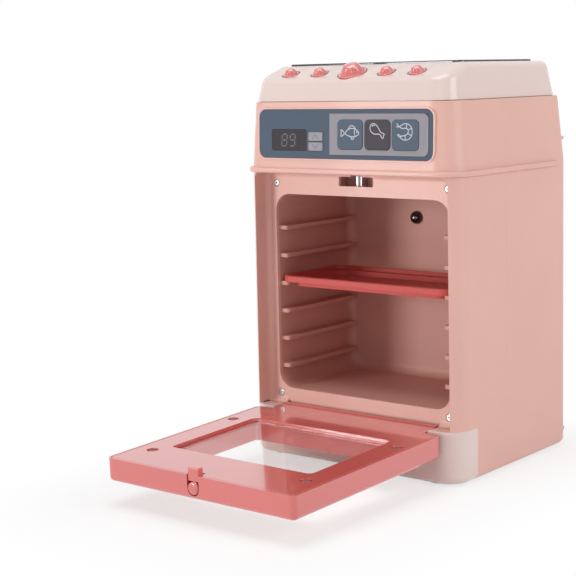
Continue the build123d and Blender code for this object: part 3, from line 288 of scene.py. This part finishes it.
def foam_rubber():
    finish = Finish("foam_rubber")
    place = finish.node("TexCoord", output="Object")
    pores = finish.node("TexVoronoi", None, {"Vector": place, "Scale": 1400.0})
    colour = finish.mix(pores, tone(58, 57, 60), tone(88, 87, 90))
    surface = finish.node("Bump", None, {"Strength": 0.5, "Distance": 0.15 * MM, "Height": pores})
    shader = finish.node("BsdfPrincipled", None, {
        "Base Color": colour, "Roughness": 0.8 + pores * 0.15, "Normal": surface,
    })
    return finish.close(shader)


def lamp_glass():
    finish = Finish("lamp_glass")
    place = finish.node("TexCoord", output="Object")
    smear = finish.node("TexNoise", None, {"Vector": place, "Scale": 260.0, "Detail": 2.0})
    colour = finish.mix(smear, tone(20, 16, 17), tone(34, 26, 27))
    shader = finish.node("BsdfPrincipled", None, {
        "Base Color": colour, "Roughness": 0.06 + smear * 0.08, "Coat Weight": 1.0, "Coat Roughness": 0.04,
    })
    return finish.close(shader)


steel = drawn_steel()
rubber = foam_rubber()
lens = lamp_glass()

# %% [markdown]
# ## The hob
# The hob is a black gloss plate with printed cooking zones. Print has no thickness, so the rings
# belong to the material: the distance from each zone's middle, in Object coordinates, picks the
# thin circles. Working with the absolute value of x draws both zones with one sum.


# %% Black hob with printed rings
HOB_MIDDLE_Y = sum(corner.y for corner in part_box("hob_plate")) / 2
ZONE_APART = 26 * MM
RINGS = (19.5 * MM, 14.0 * MM, 8.0 * MM)
RING_LINE = 0.45 * MM
TICK_PLACE = 22.5 * MM


def printed_hob():
    finish = Finish("printed_hob")
    place = finish.node("TexCoord", output="Object")
    across = abs(finish.node("SeparateXYZ", None, {0: place}, output="X")) - ZONE_APART
    along = finish.node("SeparateXYZ", None, {0: place}, output="Y") - HOB_MIDDLE_Y
    distance = (across * across + along * along) ** 0.5
    print_mask = 0.0
    for ring in RINGS:
        print_mask = (1 - abs(distance - ring) / RING_LINE).clamped() * 1.6 + print_mask
    tick = (abs(across) < 0.35 * MM) * (abs(distance - TICK_PLACE) < 1.6 * MM)
    print_mask = (print_mask + tick).clamped()
    dust = finish.node("TexNoise", None, {"Vector": place, "Scale": 1900.0, "Detail": 2.0})
    smear = finish.node("TexNoise", None, {"Vector": place, "Scale": 40.0, "Detail": 3.0})
    rounded = finish.node("Bevel", {"samples": 4}, {"Radius": 0.3 * MM})
    colour = finish.mix(print_mask * 0.8, tone(19, 19, 21), tone(150, 150, 152))
    colour = finish.mix((dust > 0.72) * 0.08, colour, tone(120, 120, 122))
    shader = finish.node("BsdfPrincipled", None, {
        "Base Color": colour, "Roughness": 0.10 + smear * 0.10 + print_mask * 0.15,
        "Normal": rounded, "Coat Weight": 0.3, "Coat Roughness": 0.05,
    })
    return finish.close(shader)


hob_black = printed_hob()
print("hob zones at x =", ZONE_APART, "rings", RINGS)

# %% [markdown]
# ## Clear window, circuit board and cells
# The pane is clear acrylic. The board is green lacquer over copper tracks: a brick pattern with
# wide joints reads as tracks. A cell has a printed sleeve between two steel ends, so its height
# on the cell picks metal or print.


# %% Pane, board and cells
def clear_acrylic():
    finish = Finish("clear_acrylic")
    place = finish.node("TexCoord", output="Object")
    haze = finish.node("TexNoise", None, {"Vector": place, "Scale": 60.0, "Detail": 3.0})
    colour = finish.mix(haze, (0.97, 0.985, 0.98, 1), (1, 1, 1, 1))
    shader = finish.node("BsdfPrincipled", None, {
        "Base Color": colour, "Roughness": 0.01 + haze * 0.03, "Transmission Weight": 1.0, "IOR": 1.16,
    })
    return finish.close(shader)


def circuit_board():
    finish = Finish("circuit_board")
    place = finish.node("TexCoord", output="Object")
    upright = finish.node("Mapping", None, {"Vector": place, "Rotation": (math.pi / 2, 0, 0)})
    tracks = finish.node("TexBrick", {"offset": 0.35}, {
        "Vector": upright, "Scale": 130.0, "Mortar Size": 0.06, "Brick Width": 0.9, "Row Height": 0.3,
    }, output="Fac")
    colour = finish.mix(tracks, tone(24, 84, 52), tone(62, 128, 84))
    surface = finish.node("Bump", None, {"Strength": 0.4, "Distance": 0.05 * MM, "Height": tracks})
    shader = finish.node("BsdfPrincipled", None, {"Base Color": colour, "Roughness": 0.35, "Normal": surface})
    return finish.close(shader)


def cell_sleeve():
    finish = Finish("cell_sleeve")
    place = finish.node("TexCoord", output="Object")
    height = finish.node("SeparateXYZ", None, {0: place}, output="Z")
    low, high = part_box("battery_cells")
    from_middle = abs(height - (low.z + high.z) / 2)
    bare = from_middle > 23.0 * MM
    band = abs(from_middle - 15.0 * MM) < 3.5 * MM
    grain = finish.node("TexNoise", None, {"Vector": place, "Scale": 700.0, "Detail": 2.0})
    print_colour = finish.mix(band, tone(52, 60, 74), tone(190, 128, 70))
    colour = finish.mix(bare, print_colour, tone(196, 196, 198))
    shader = finish.node("BsdfPrincipled", None, {
        "Base Color": colour, "Metallic": bare * 1.0, "Roughness": 0.28 + grain * 0.12,
    })
    return finish.close(shader)


acrylic = clear_acrylic()
board = circuit_board()
sleeve = cell_sleeve()

# %% [markdown]
# ## Dressing the CAD pieces
# A CAD piece keeps its mesh: only the material in its slot changes. One table pairs each finish
# with its pieces, so nothing is forgotten, and the print at the end proves that none was.

# %% Finish of each CAD piece
DRESS = {
    plastic["pink_plastic"]: ["front_shell", "rear_shell", "base_plate", "battery_cover", "latch_bracket"],
    plastic["shaded_cavity_pink"]: ["cavity_liner"],
    plastic["cream_plastic"]: ["top_housing", "base_skirt"],
    plastic["coral_plastic"]: [
        "door_frame", "door_inner_plate", "door_grip", "latch_button", "latch_hook",
    ],
    plastic["tray_plastic"]: ["oven_tray"],
    plastic["panel_blue"]: ["control_fascia"],
    plastic["plate_grey"]: ["key_surround"],
    plastic["key_blue"]: ["key_left", "key_right"],
    plastic["key_grey"]: ["key_middle"],
    plastic["arrow_grey"]: ["up_button", "down_button"],
    plastic["smoked_window"]: ["display_window"],
    plastic["black_plastic"]: [
        "display_module", "battery_box", "speaker", "power_switch", "power_slider", "key_switches",
    ],
    steel: [
        "base_screws", "shell_screws", "liner_screws", "door_screws", "board_screws", "top_screws",
        "cover_screw", "hinge_pins", "latch_pin", "latch_strip", "battery_contacts",
        "knob_clip_1", "knob_clip_2", "knob_clip_3", "knob_clip_4", "knob_clip_5",
    ],
    rubber: ["feet"],
    lens: ["lamp_lens"],
    hob_black: ["hob_plate"],
    acrylic: ["window_pane"],
    board: ["control_board", "lamp_board"],
    sleeve: ["battery_cells"],
}
for finish, names in DRESS.items():
    for name in names:
        nodes[name].material_slots[0].material = finish
dressed = {name for names in DRESS.values() for name in names}
print("dressed", len(dressed), "of", len(nodes), "left:", sorted(set(nodes) - dressed))

# %% [markdown]
# ## Working on a new piece
# The new pieces are modelled at the world's origin, where sizes are easy to type, and are then
# carried to their place by one matrix. `pick_faces` opens a piece in edit mode with just the
# faces that a test chooses, which is what a person does with the mouse.


# %% Modelling helpers
def pick_faces(piece, test):
    """Selects the faces that pass a test and leaves the piece in edit mode"""
    bpy.ops.object.mode_set(mode="OBJECT")
    for vertex in piece.data.vertices:
        vertex.select = False
    for edge in piece.data.edges:
        edge.select = False
    for face in piece.data.polygons:
        face.select = bool(test(face))
    bpy.ops.object.mode_set(mode="EDIT")
    bpy.ops.mesh.select_mode(type="FACE")


def pick_edges(piece, test):
    """Selects the edges whose two ends pass a test and leaves the piece in edit mode"""
    bpy.ops.object.mode_set(mode="EDIT")
    bpy.ops.mesh.select_mode(type="EDGE")
    bpy.ops.mesh.select_all(action="DESELECT")
    bpy.ops.object.mode_set(mode="OBJECT")
    for edge in piece.data.edges:
        ends = [piece.data.vertices[index].co for index in edge.vertices]
        edge.select = bool(test(*ends))
    bpy.ops.object.mode_set(mode="EDIT")


def finish_piece(piece, name, place, material, body, smooth=35):
    """Leaves edit mode, carries the piece to its place in its mesh, and gives it its finish"""
    bpy.ops.object.mode_set(mode="OBJECT")
    deselect()
    piece.select_set(True)
    bpy.context.view_layer.objects.active = piece
    bpy.ops.object.transform_apply(location=True, rotation=True, scale=True)
    if smooth:
        bpy.ops.object.shade_smooth_by_angle(angle=math.radians(smooth))
    piece.data.transform(place)
    piece.name = name
    piece.data.materials.clear()
    piece.data.materials.append(material)
    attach(piece, body)
    deselect()
    return piece


# %% [markdown]
# ## The knobs
# Five knobs sit in round pockets on the slope. Each is a ten-sided cone with a soft crown over a
# round foot, like a cut gemstone. A cone with flat sides comes from a ten-sided cylinder whose
# top is scaled down, then two bevels soften its corners. The foot is a second, rounder cylinder.

# %% Where the knobs stand
SLOPE = math.radians(20)
KNOB_Y = 11.6 * MM
KNOB_Z = 195.0 * MM
KNOB_X = [-40.4, -22.2, -2.2, 18.0, 35.5]
KNOB_SIZE = {"small": (4.05, 2.0, 3.0), "large": (7.0, 3.6, 5.0)}
SPINDLE_END = -4.8
FACETS = 10
CROWN_STEPS = ((0.93, 0.17), (0.82, 0.12), (0.55, 0.07), (0.35, 0.02))


def model_knob(foot, crown, height):
    """A knob on the origin, pointing up, in millimetres"""
    waist = 0.62 * height
    skirt = foot - 0.25
    bpy.ops.mesh.primitive_cylinder_add(
        vertices=FACETS, radius=skirt, depth=waist, location=(0, 0, waist / 2))
    grip = bpy.context.object
    pick_faces(grip, lambda face: face.normal.z > 0.9)
    narrow = crown * 1.28 / skirt
    bpy.ops.transform.resize(value=(narrow, narrow, 1))
    for share, lift in CROWN_STEPS:
        bpy.ops.mesh.extrude_region_move(TRANSFORM_OT_translate={"value": (0, 0, lift * height)})
        bpy.ops.transform.resize(value=(share, share, 1))
    pick_edges(grip, lambda a, b: abs(a.z - b.z) > 0.5 * waist)
    bpy.ops.mesh.bevel(offset=0.06 * foot, segments=3, profile=0.5)
    bpy.ops.object.mode_set(mode="OBJECT")
    bpy.ops.mesh.primitive_cylinder_add(vertices=48, radius=foot, depth=0.95, location=(0, 0, -0.225))
    base = bpy.context.object
    pick_edges(base, lambda a, b: a.z > 0.2 and b.z > 0.2)
    bpy.ops.mesh.bevel(offset=0.2, segments=3, profile=0.5)
    pick_faces(base, lambda face: face.normal.z < -0.9)
    bpy.ops.mesh.inset(thickness=foot - 1.5)
    bpy.ops.mesh.extrude_region_move(TRANSFORM_OT_translate={"value": (0, 0, SPINDLE_END + 0.7)})
    bpy.ops.object.mode_set(mode="OBJECT")
    deselect()
    base.select_set(True)
    grip.select_set(True)
    bpy.context.view_layer.objects.active = grip
    bpy.ops.object.join()
    return grip


for number, x in enumerate(KNOB_X, start=1):
    deselect()
    knob = model_knob(*KNOB_SIZE["large" if number == 3 else "small"])
    lean = Matrix.Rotation(SLOPE, 4, "X")
    stand = Matrix.Translation((x * MM, KNOB_Y, KNOB_Z)) @ lean @ Matrix.Scale(MM, 4)
    name, body = f"knob_grip_{number}", f"dial_{number}"
    finish_piece(knob, name, stand, plastic["coral_plastic"], body, smooth=28)
    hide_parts(f"knob_{number}")
    print(knob.name, "faces", len(knob.data.polygons))

# %% [markdown]
# ## The window pane
# The pane is a thick clear plate with polished, bevelled edges: the bevel is what draws the
# bright line round the window. A cube is scaled to the plate, its four upright edges are rounded
# and its upper rim is chamfered.

# %% Window pane
DOOR_OPEN = math.radians(91.6)
HINGE = Vector((0, 9.4, 23.9)) * MM
DOOR_OUT = Vector((0, math.cos(DOOR_OPEN), math.sin(DOOR_OPEN)))
DOOR_FREE = Vector((0, -math.sin(DOOR_OPEN), math.cos(DOOR_OPEN)))
PANE_SIZE = (81.8, 59.6, 1.5)
PANE_PLACE = (0, 61.3, -0.4)


def on_door(across, along, out):
    """A door point: millimetres across, from the hinge to the free edge, and off its plane"""
    return HINGE + Vector((1, 0, 0)) * across * MM + DOOR_FREE * along * MM + DOOR_OUT * out * MM


def door_matrix(across, along, out):
    """Carries a piece modelled flat, with y towards the free edge, to the door"""
    turn = Matrix((Vector((-1, 0, 0)), DOOR_FREE, DOOR_OUT)).transposed().to_4x4()
    return Matrix.Translation(on_door(across, along, out)) @ turn @ Matrix.Scale(MM, 4)


def model_pane(width, length, thickness):
    bpy.ops.mesh.primitive_cube_add(size=1, location=(0, 0, thickness / 2))
    pane = bpy.context.object
    pane.scale = (width, length, thickness)
    bpy.ops.object.transform_apply(scale=True)
    pick_edges(pane, lambda a, b: abs(a.z - b.z) > 0.5 * thickness)
    bpy.ops.mesh.bevel(offset=2.4, segments=6, profile=0.5)
    pick_edges(pane, lambda a, b: a.z > 0.9 * thickness and b.z > 0.9 * thickness)
    bpy.ops.mesh.bevel(offset=0.4, segments=1)
    return pane


deselect()
pane = model_pane(*PANE_SIZE)
finish_piece(pane, "polished_pane", door_matrix(*PANE_PLACE), acrylic, "door", smooth=25)
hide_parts("window_pane")
print(pane.name, "faces", len(pane.data.polygons))

# %% [markdown]
# ## Web behind the hinge
# Over the hinge barrel a thin dark slot would show between the door and the front panel. On
# the moulding a web closes it. It starts as a slab, its front is inset and pushed back into a
# shallow channel for the barrel, and its edges are broken.

# %% Web behind the hinge
SLOT_LENGTH, SLOT_HEIGHT, WEB_THICKNESS = 93.6, 6.6, 1.1
WEB_PLACE = Vector((0, 13.2, 23.9)) * MM


def model_web():
    bpy.ops.mesh.primitive_cube_add(size=1)
    web = bpy.context.object
    web.scale = (SLOT_LENGTH, WEB_THICKNESS, SLOT_HEIGHT)
    bpy.ops.object.transform_apply(scale=True)
    pick_faces(web, lambda face: face.normal.y < -0.9)
    bpy.ops.mesh.inset(thickness=1.1)
    bpy.ops.transform.translate(value=(0, 0.25, 0))
    bpy.ops.object.mode_set(mode="OBJECT")
    soften = web.modifiers.new("edges", "BEVEL")
    soften.width = 0.15
    soften.segments = 2
    bpy.ops.object.modifier_apply(modifier="edges")
    return web


deselect()
web = model_web()
seat = Matrix.Translation(WEB_PLACE) @ Matrix.Scale(MM, 4)
finish_piece(web, "hinge_web", seat, plastic["pink_plastic"], "body", smooth=30)
print(web.name, "faces", len(web.data.polygons))

# %% [markdown]
# ## Print on the control panel
# Icons, digits and arrows are printed ink, a hair thicker than the surface they lie on. A line
# drawing is a curve with a round bevel, turned into a mesh and pressed flat. All of it is laid
# out in millimetres across and up the panel, which leans back a little above the belt.

# %% Panel layout
PANEL_LEAN = math.atan(1.0 / 32.4)
PANEL_FOOT_HEIGHT = 149.1
PANEL_FOOT = Vector((0, 0, PANEL_FOOT_HEIGHT)) * MM
PANEL_UP = Vector((0, math.sin(PANEL_LEAN), math.cos(PANEL_LEAN)))
PANEL_OUT = Vector((0, -math.cos(PANEL_LEAN), math.sin(PANEL_LEAN)))
KEY_FACE = 0.9
WINDOW_FACE = 0.3


def panel_matrix(across, height, out):
    """Carries a piece modelled flat to the panel: height is in millimetres above the table"""
    rise = (height - PANEL_FOOT_HEIGHT) / math.cos(PANEL_LEAN)
    turn = Matrix((Vector((1, 0, 0)), PANEL_UP, PANEL_OUT)).transposed().to_4x4()
    place = PANEL_FOOT + Vector((1, 0, 0)) * across * MM + PANEL_UP * rise * MM + PANEL_OUT * out * MM
    return Matrix.Translation(place) @ turn @ Matrix.Scale(MM, 4)


def ink(name, colour, roughness=0.45, glow=0.0):
    """Screen-printed ink: a slightly uneven, matt coat; glow adds a painted glow as emission"""
    finish = Finish(name)
    place = finish.node("TexCoord", output="Object")
    patch = finish.node("TexNoise", None, {"Vector": place, "Scale": 2200.0, "Detail": 2.0})
    coat = finish.mix(patch, scaled(colour, 0.92), scaled(colour, 1.06))
    shader = finish.node("BsdfPrincipled", None, {
        "Base Color": coat, "Roughness": roughness + patch * 0.1,
        "Emission Color": coat, "Emission Strength": glow,
    })
    return finish.close(shader)


white_ink = ink("white_ink", tone(196, 198, 204))
arrow_ink = ink("arrow_ink", tone(112, 114, 126))
mask_ink = ink("mask_ink", tone(30, 20, 22), roughness=0.6)
# The digits get a faint painted glow: the ink emits a little light though nothing lights it
glowing_digit_ink = ink("glowing_digit_ink", tone(104, 98, 108), roughness=0.6, glow=0.1)

# %% [markdown]
# ## Drawing with a curve
# A NURBS curve of order 3 turns a few points into a smooth line, and its bevel gives the line a
# width. Pressed to a sixth of its height, it lies on the key as a raised print would.


# %% Lines of ink
PRESSED = 0.16


def draw_lines(strokes, width, size=1.0):
    """Line drawing on the origin: each stroke is (points, closed), in millimetres, times size"""
    deselect()
    bpy.ops.curve.primitive_nurbs_path_add()
    drawing = bpy.context.object
    drawing.data.splines.clear()
    for points, closed in strokes:
        stroke = drawing.data.splines.new("NURBS")
        stroke.points.add(len(points) - 1)
        for point, (across, up) in zip(stroke.points, points):
            point.co = (across * size, up * size, 0, 1)
        stroke.order_u = 3
        stroke.use_cyclic_u = closed
        stroke.use_endpoint_u = not closed
    drawing.data.bevel_depth = width / 2
    drawing.data.bevel_resolution = 1
    drawing.data.resolution_u = 4
    drawing.data.use_fill_caps = True
    bpy.ops.object.convert(target="MESH")
    drawing.scale = (1, 1, PRESSED)
    bpy.ops.object.transform_apply(scale=True)
    return drawing


# %% [markdown]
# ## Pictograms on the keys
# The three keys show a fish, a drumstick and a shrimp in one line weight. Each is drawn in
# control points round the key's middle: a smooth curve of order 3 passes near them.

# %% Pictograms
FISH = [
    ([(-3.1, -0.3), (-1.4, 1.5), (0.6, 2.3), (2.9, 2.2), (4.6, 1.2), (6.0, -0.2), (4.6, -1.3), (2.6, -2.0),
      (0.2, -1.8), (-1.6, -1.2)], True),
    ([(-3.1, -0.3), (-4.1, 1.0), (-5.6, 1.7), (-5.1, 0.1), (-5.6, -1.9), (-4.2, -1.4), (-3.1, -0.3)], False),
    ([(-0.8, 2.1), (0.2, 3.5), (2.2, 3.7), (3.5, 2.1)], False),
    ([(0.6, -1.9), (1.1, -3.2), (2.2, -3.3), (2.6, -2.1)], False),
    ([(3.2, 1.9), (2.5, 0.5), (3.3, -1.4)], False),
    ([(4.4, 0.5), (4.7, 0.3), (4.4, 0.1), (4.1, 0.3)], True),
]
DRUMSTICK = [
    ([(-4.6, 0.4), (-4.9, 2.6), (-3.5, 4.4), (-1.4, 4.4), (0.5, 2.6), (2.2, 0.0), (3.4, -1.0), (4.6, -0.8),
      (4.9, -1.8), (4.1, -2.3), (4.4, -3.3), (3.5, -3.8), (2.9, -2.9), (2.2, -1.6), (0.6, -1.2),
      (-2.2, -1.5)], True),
    ([(-3.4, 2.8), (-2.6, 3.6), (-1.4, 3.5)], False),
]
SHRIMP = [
    ([(-3.4, 2.6), (-1.2, 4.2), (2.0, 4.2), (4.4, 2.2), (4.8, -0.8), (3.6, -3.4), (1.0, -4.6), (-1.8, -4.2),
      (-3.2, -2.9)], False),
    ([(-3.4, 2.6), (-2.2, 1.4), (-0.2, 1.9), (1.6, 1.6), (2.4, 0.1), (1.6, -1.4), (-0.2, -2.2), (-2.0, -2.2),
      (-3.2, -2.9)], False),
    ([(1.4, 4.1), (0.8, 1.9)], False),
    ([(4.4, 1.9), (2.3, 0.9)], False),
    ([(4.2, -2.2), (1.9, -0.9)], False),
    ([(0.4, -4.6), (0.1, -2.3)], False),
    ([(-3.4, 2.6), (-4.6, 3.2), (-5.2, 4.4)], False),
    ([(-3.4, 2.6), (-4.8, 2.2), (-5.6, 2.8)], False),
    ([(-3.2, -2.9), (-4.4, -2.4), (-4.8, -1.4), (-3.6, -1.7), (-2.8, -2.4)], False),
]
ICON_LINE = 0.42
KEYS = {  # drawing, size, place across, height above the table, body
    "key_left": (FISH, 0.97, 4.45, 166.7, "left_key"),
    "key_middle": (DRUMSTICK, 0.86, 20.5, 167.4, "middle_key"),
    "key_right": (SHRIMP, 0.88, 36.4, 167.5, "right_key"),
}
for key, (strokes, size, across, height, body) in KEYS.items():
    icon = draw_lines(strokes, ICON_LINE, size)
    place = panel_matrix(across, height, KEY_FACE)
    finish_piece(icon, key + "_icon", place, white_ink, body, smooth=60)
    print(icon.name, "faces", len(icon.data.polygons))

# %% [markdown]
# ## Arrows
# The two small buttons carry plain arrow heads, one up and one down. The same stroke serves for
# both: `way` turns it over.

# %% Arrows on the two small buttons
ARROW_LINE = 0.5
ARROW_PLACE = -16.45
ARROWS = {  # height above the table, way it points, body
    "up_arrow_mark": (164.6, 1, "up_arrow"),
    "down_arrow_mark": (160.0, -1, "down_arrow"),
}
for name, (height, way, body) in ARROWS.items():
    chevron = [([(-1.7, -0.9 * way), (-0.1, 0.95 * way), (0.1, 0.95 * way), (1.7, -0.9 * way)], False)]
    mark = draw_lines(chevron, ARROW_LINE)
    place = panel_matrix(ARROW_PLACE, height, KEY_FACE)
    finish_piece(mark, name, place, arrow_ink, body, smooth=60)
    print(mark.name, "faces", len(mark.data.polygons))

# %% [markdown]
# ## The display
# The display shows two dim digits on a black mask. On the real toy they lie behind the smoked
# window, and here they are a thin layer on its face, because that plastic is too dark to look
# through. A digit is seven bars, so one pointed bar is modelled, a six-sided disc drawn long,
# and copied to each place.

# %% Display mask and digits
BAR_PLACES = {
    "top": (0, 2.9, False), "middle": (0, 0, False), "bottom": (0, -2.9, False),
    "upper_left": (-1.55, 1.45, True), "upper_right": (1.55, 1.45, True),
    "lower_left": (-1.55, -1.45, True), "lower_right": (1.55, -1.45, True),
}
DISPLAY_HEIGHT = 162.9
MASK_PLACE = -33.7
MASK_SIZE = (12.6, 8.0, 0.06)
DIGIT_SLANT = 0.10
DIGITS = {
    "first": (-36.2, ["top", "middle", "bottom", "upper_left", "upper_right", "lower_left", "lower_right"]),
    "second": (-31.1, ["top", "middle", "bottom", "upper_left", "upper_right", "lower_right"]),
}


def model_bar():
    """A long bar with pointed ends, on the origin, across"""
    bpy.ops.mesh.primitive_cylinder_add(vertices=6, radius=1.0, depth=0.03)
    bar = bpy.context.object
    bar.scale = (1.38, 0.36, 1)
    bpy.ops.object.transform_apply(scale=True)
    return bar


def model_digit(bars):
    deselect()
    bar = model_bar()
    copies = []
    for name in bars:
        across, up, upright = BAR_PLACES[name]
        copy = bar.copy()
        copy.data = bar.data.copy()
        bpy.context.scene.collection.objects.link(copy)
        slant = Matrix.Identity(4)
        slant[0][1] = DIGIT_SLANT
        turn = Matrix.Rotation(math.pi / 2, 4, "Z") if upright else Matrix.Identity(4)
        copy.data.transform(slant @ Matrix.Translation((across, up, 0)) @ turn)
        copies.append(copy)
    bpy.data.objects.remove(bar)
    deselect()
    for copy in copies:
        copy.select_set(True)
    bpy.context.view_layer.objects.active = copies[0]
    bpy.ops.object.join()
    return bpy.context.object


deselect()
bpy.ops.mesh.primitive_cube_add(size=1)
mask = bpy.context.object
mask.scale = MASK_SIZE
bpy.ops.object.transform_apply(scale=True)
pick_edges(mask, lambda a, b: abs(a.z - b.z) > MASK_SIZE[2] / 2)
bpy.ops.mesh.bevel(offset=0.5, segments=3, profile=0.5)
place = panel_matrix(MASK_PLACE, DISPLAY_HEIGHT, WINDOW_FACE + 0.03)
finish_piece(mask, "display_mask", place, mask_ink, "body")
for name, (across, bars) in DIGITS.items():
    digit = model_digit(bars)
    place = panel_matrix(across, DISPLAY_HEIGHT, WINDOW_FACE + 0.075)
    finish_piece(digit, name + "_digit", place, glowing_digit_ink, "body", smooth=0)
print("display at", tuple(round(v, 4) for v in mask.data.vertices[0].co))

# %% [markdown]
# ## Floor and light
# The studio is a white table with the white running on behind. The camera, and gloss and glass,
# see the table partly as a white card, through the Light Path node, so it stays white without
# more light on the oven; the other part is a true diffuse surface that keeps the shadow.

# %% Floor
FOOTPRINT_MIDDLE_Y = -0.012
FOOTPRINT_HALF = (0.055, 0.1)
SHADOW_REACH = 0.07
CARD_UNDER_OVEN = 0.66


def seen_directly(finish):
    """1 for the camera and for what gloss and glass show, 0 for the light that the oven gets"""
    camera_ray, gloss_ray, glass_ray = (
        finish.node("LightPath", output=kind)
        for kind in ("Is Camera Ray", "Is Glossy Ray", "Is Transmission Ray"))
    return camera_ray.larger(gloss_ray).larger(glass_ray)


def table_top():
    finish = Finish("table_top")
    place = finish.node("TexCoord", output="Object")
    fibre = finish.node("TexNoise", None, {"Vector": place, "Scale": 300.0, "Detail": 3.0})
    colour = finish.mix(fibre, (0.93, 0.925, 0.925, 1), (0.96, 0.955, 0.955, 1))
    paper = finish.node("BsdfDiffuse", None, {"Color": colour})
    card = finish.node("Emission", None, {"Color": (1, 1, 1, 1), "Strength": 1.0})
    east = finish.node("SeparateXYZ", None, {0: place}, output="X")
    north = finish.node("SeparateXYZ", None, {0: place}, output="Y")
    beside = (abs(east) - FOOTPRINT_HALF[0]).larger(0.0)
    before = (abs(north - FOOTPRINT_MIDDLE_Y) - FOOTPRINT_HALF[1]).larger(0.0)
    away = ((beside * beside + before * before) ** 0.5 / SHADOW_REACH).clamped()
    share = seen_directly(finish) * (CARD_UNDER_OVEN + away * (1 - CARD_UNDER_OVEN))
    shader = finish.node("MixShader", None, {0: share, 1: paper, 2: card})
    return finish.close(shader)


deselect()
bpy.ops.mesh.primitive_plane_add(size=12, location=(0, 0, 0))
floor = bpy.context.object
floor.name = "table_top"
floor.data.materials.append(table_top())

# %% [markdown]
# ## World and lamps
# The world is the white room: full white where it is seen, and a weak fill for the oven. A low
# lamp at the front left reaches through the door opening to the cavity's back wall. One at the
# right lights the side, a wide one overhead lights the door and the slope, and a narrow strip
# draws the bright line on the cream corner.

# %% World and lamps
WORLD_LIGHT = 0.26
LAMP_AIM = Vector((0, 0.05, 0.1))
LAMPS = {  # place, size, power
    "front_left_box": ((-0.56, -0.98, 0.19), (0.3, 0.34), 5.5),
    "right_box": ((1.05, 0.10, 0.50), (0.6, 0.8), 5.5),
    "roof_box": ((-0.1, -0.16, 1.2), (0.8, 0.8), 7.0),
    "strip": ((0.42, -1.10, 0.42), (0.07, 0.5), 0.8),
}


def make_world():
    finish = Finish("studio", bpy.data.worlds.new("studio"))
    strength = WORLD_LIGHT + seen_directly(finish) * (1 - WORLD_LIGHT)
    sky = finish.node("Background", None, {"Color": (1, 1, 1, 1), "Strength": strength})
    return finish.close(sky, "OutputWorld")


def softbox(name, place, size, energy):
    """A flat lamp that looks at the oven's middle"""
    bpy.ops.object.light_add(type="AREA", location=place)
    lamp = bpy.context.object
    lamp.name = name
    lamp.data.shape = "RECTANGLE"
    lamp.data.size = size[0]
    lamp.data.size_y = size[1]
    lamp.data.energy = energy
    aim = LAMP_AIM - lamp.location
    lamp.rotation_euler = aim.to_track_quat("-Z", "Y").to_euler()
    return lamp


bpy.context.scene.world = make_world()
for name, (place, size, power) in LAMPS.items():
    softbox(name, place, size, power)
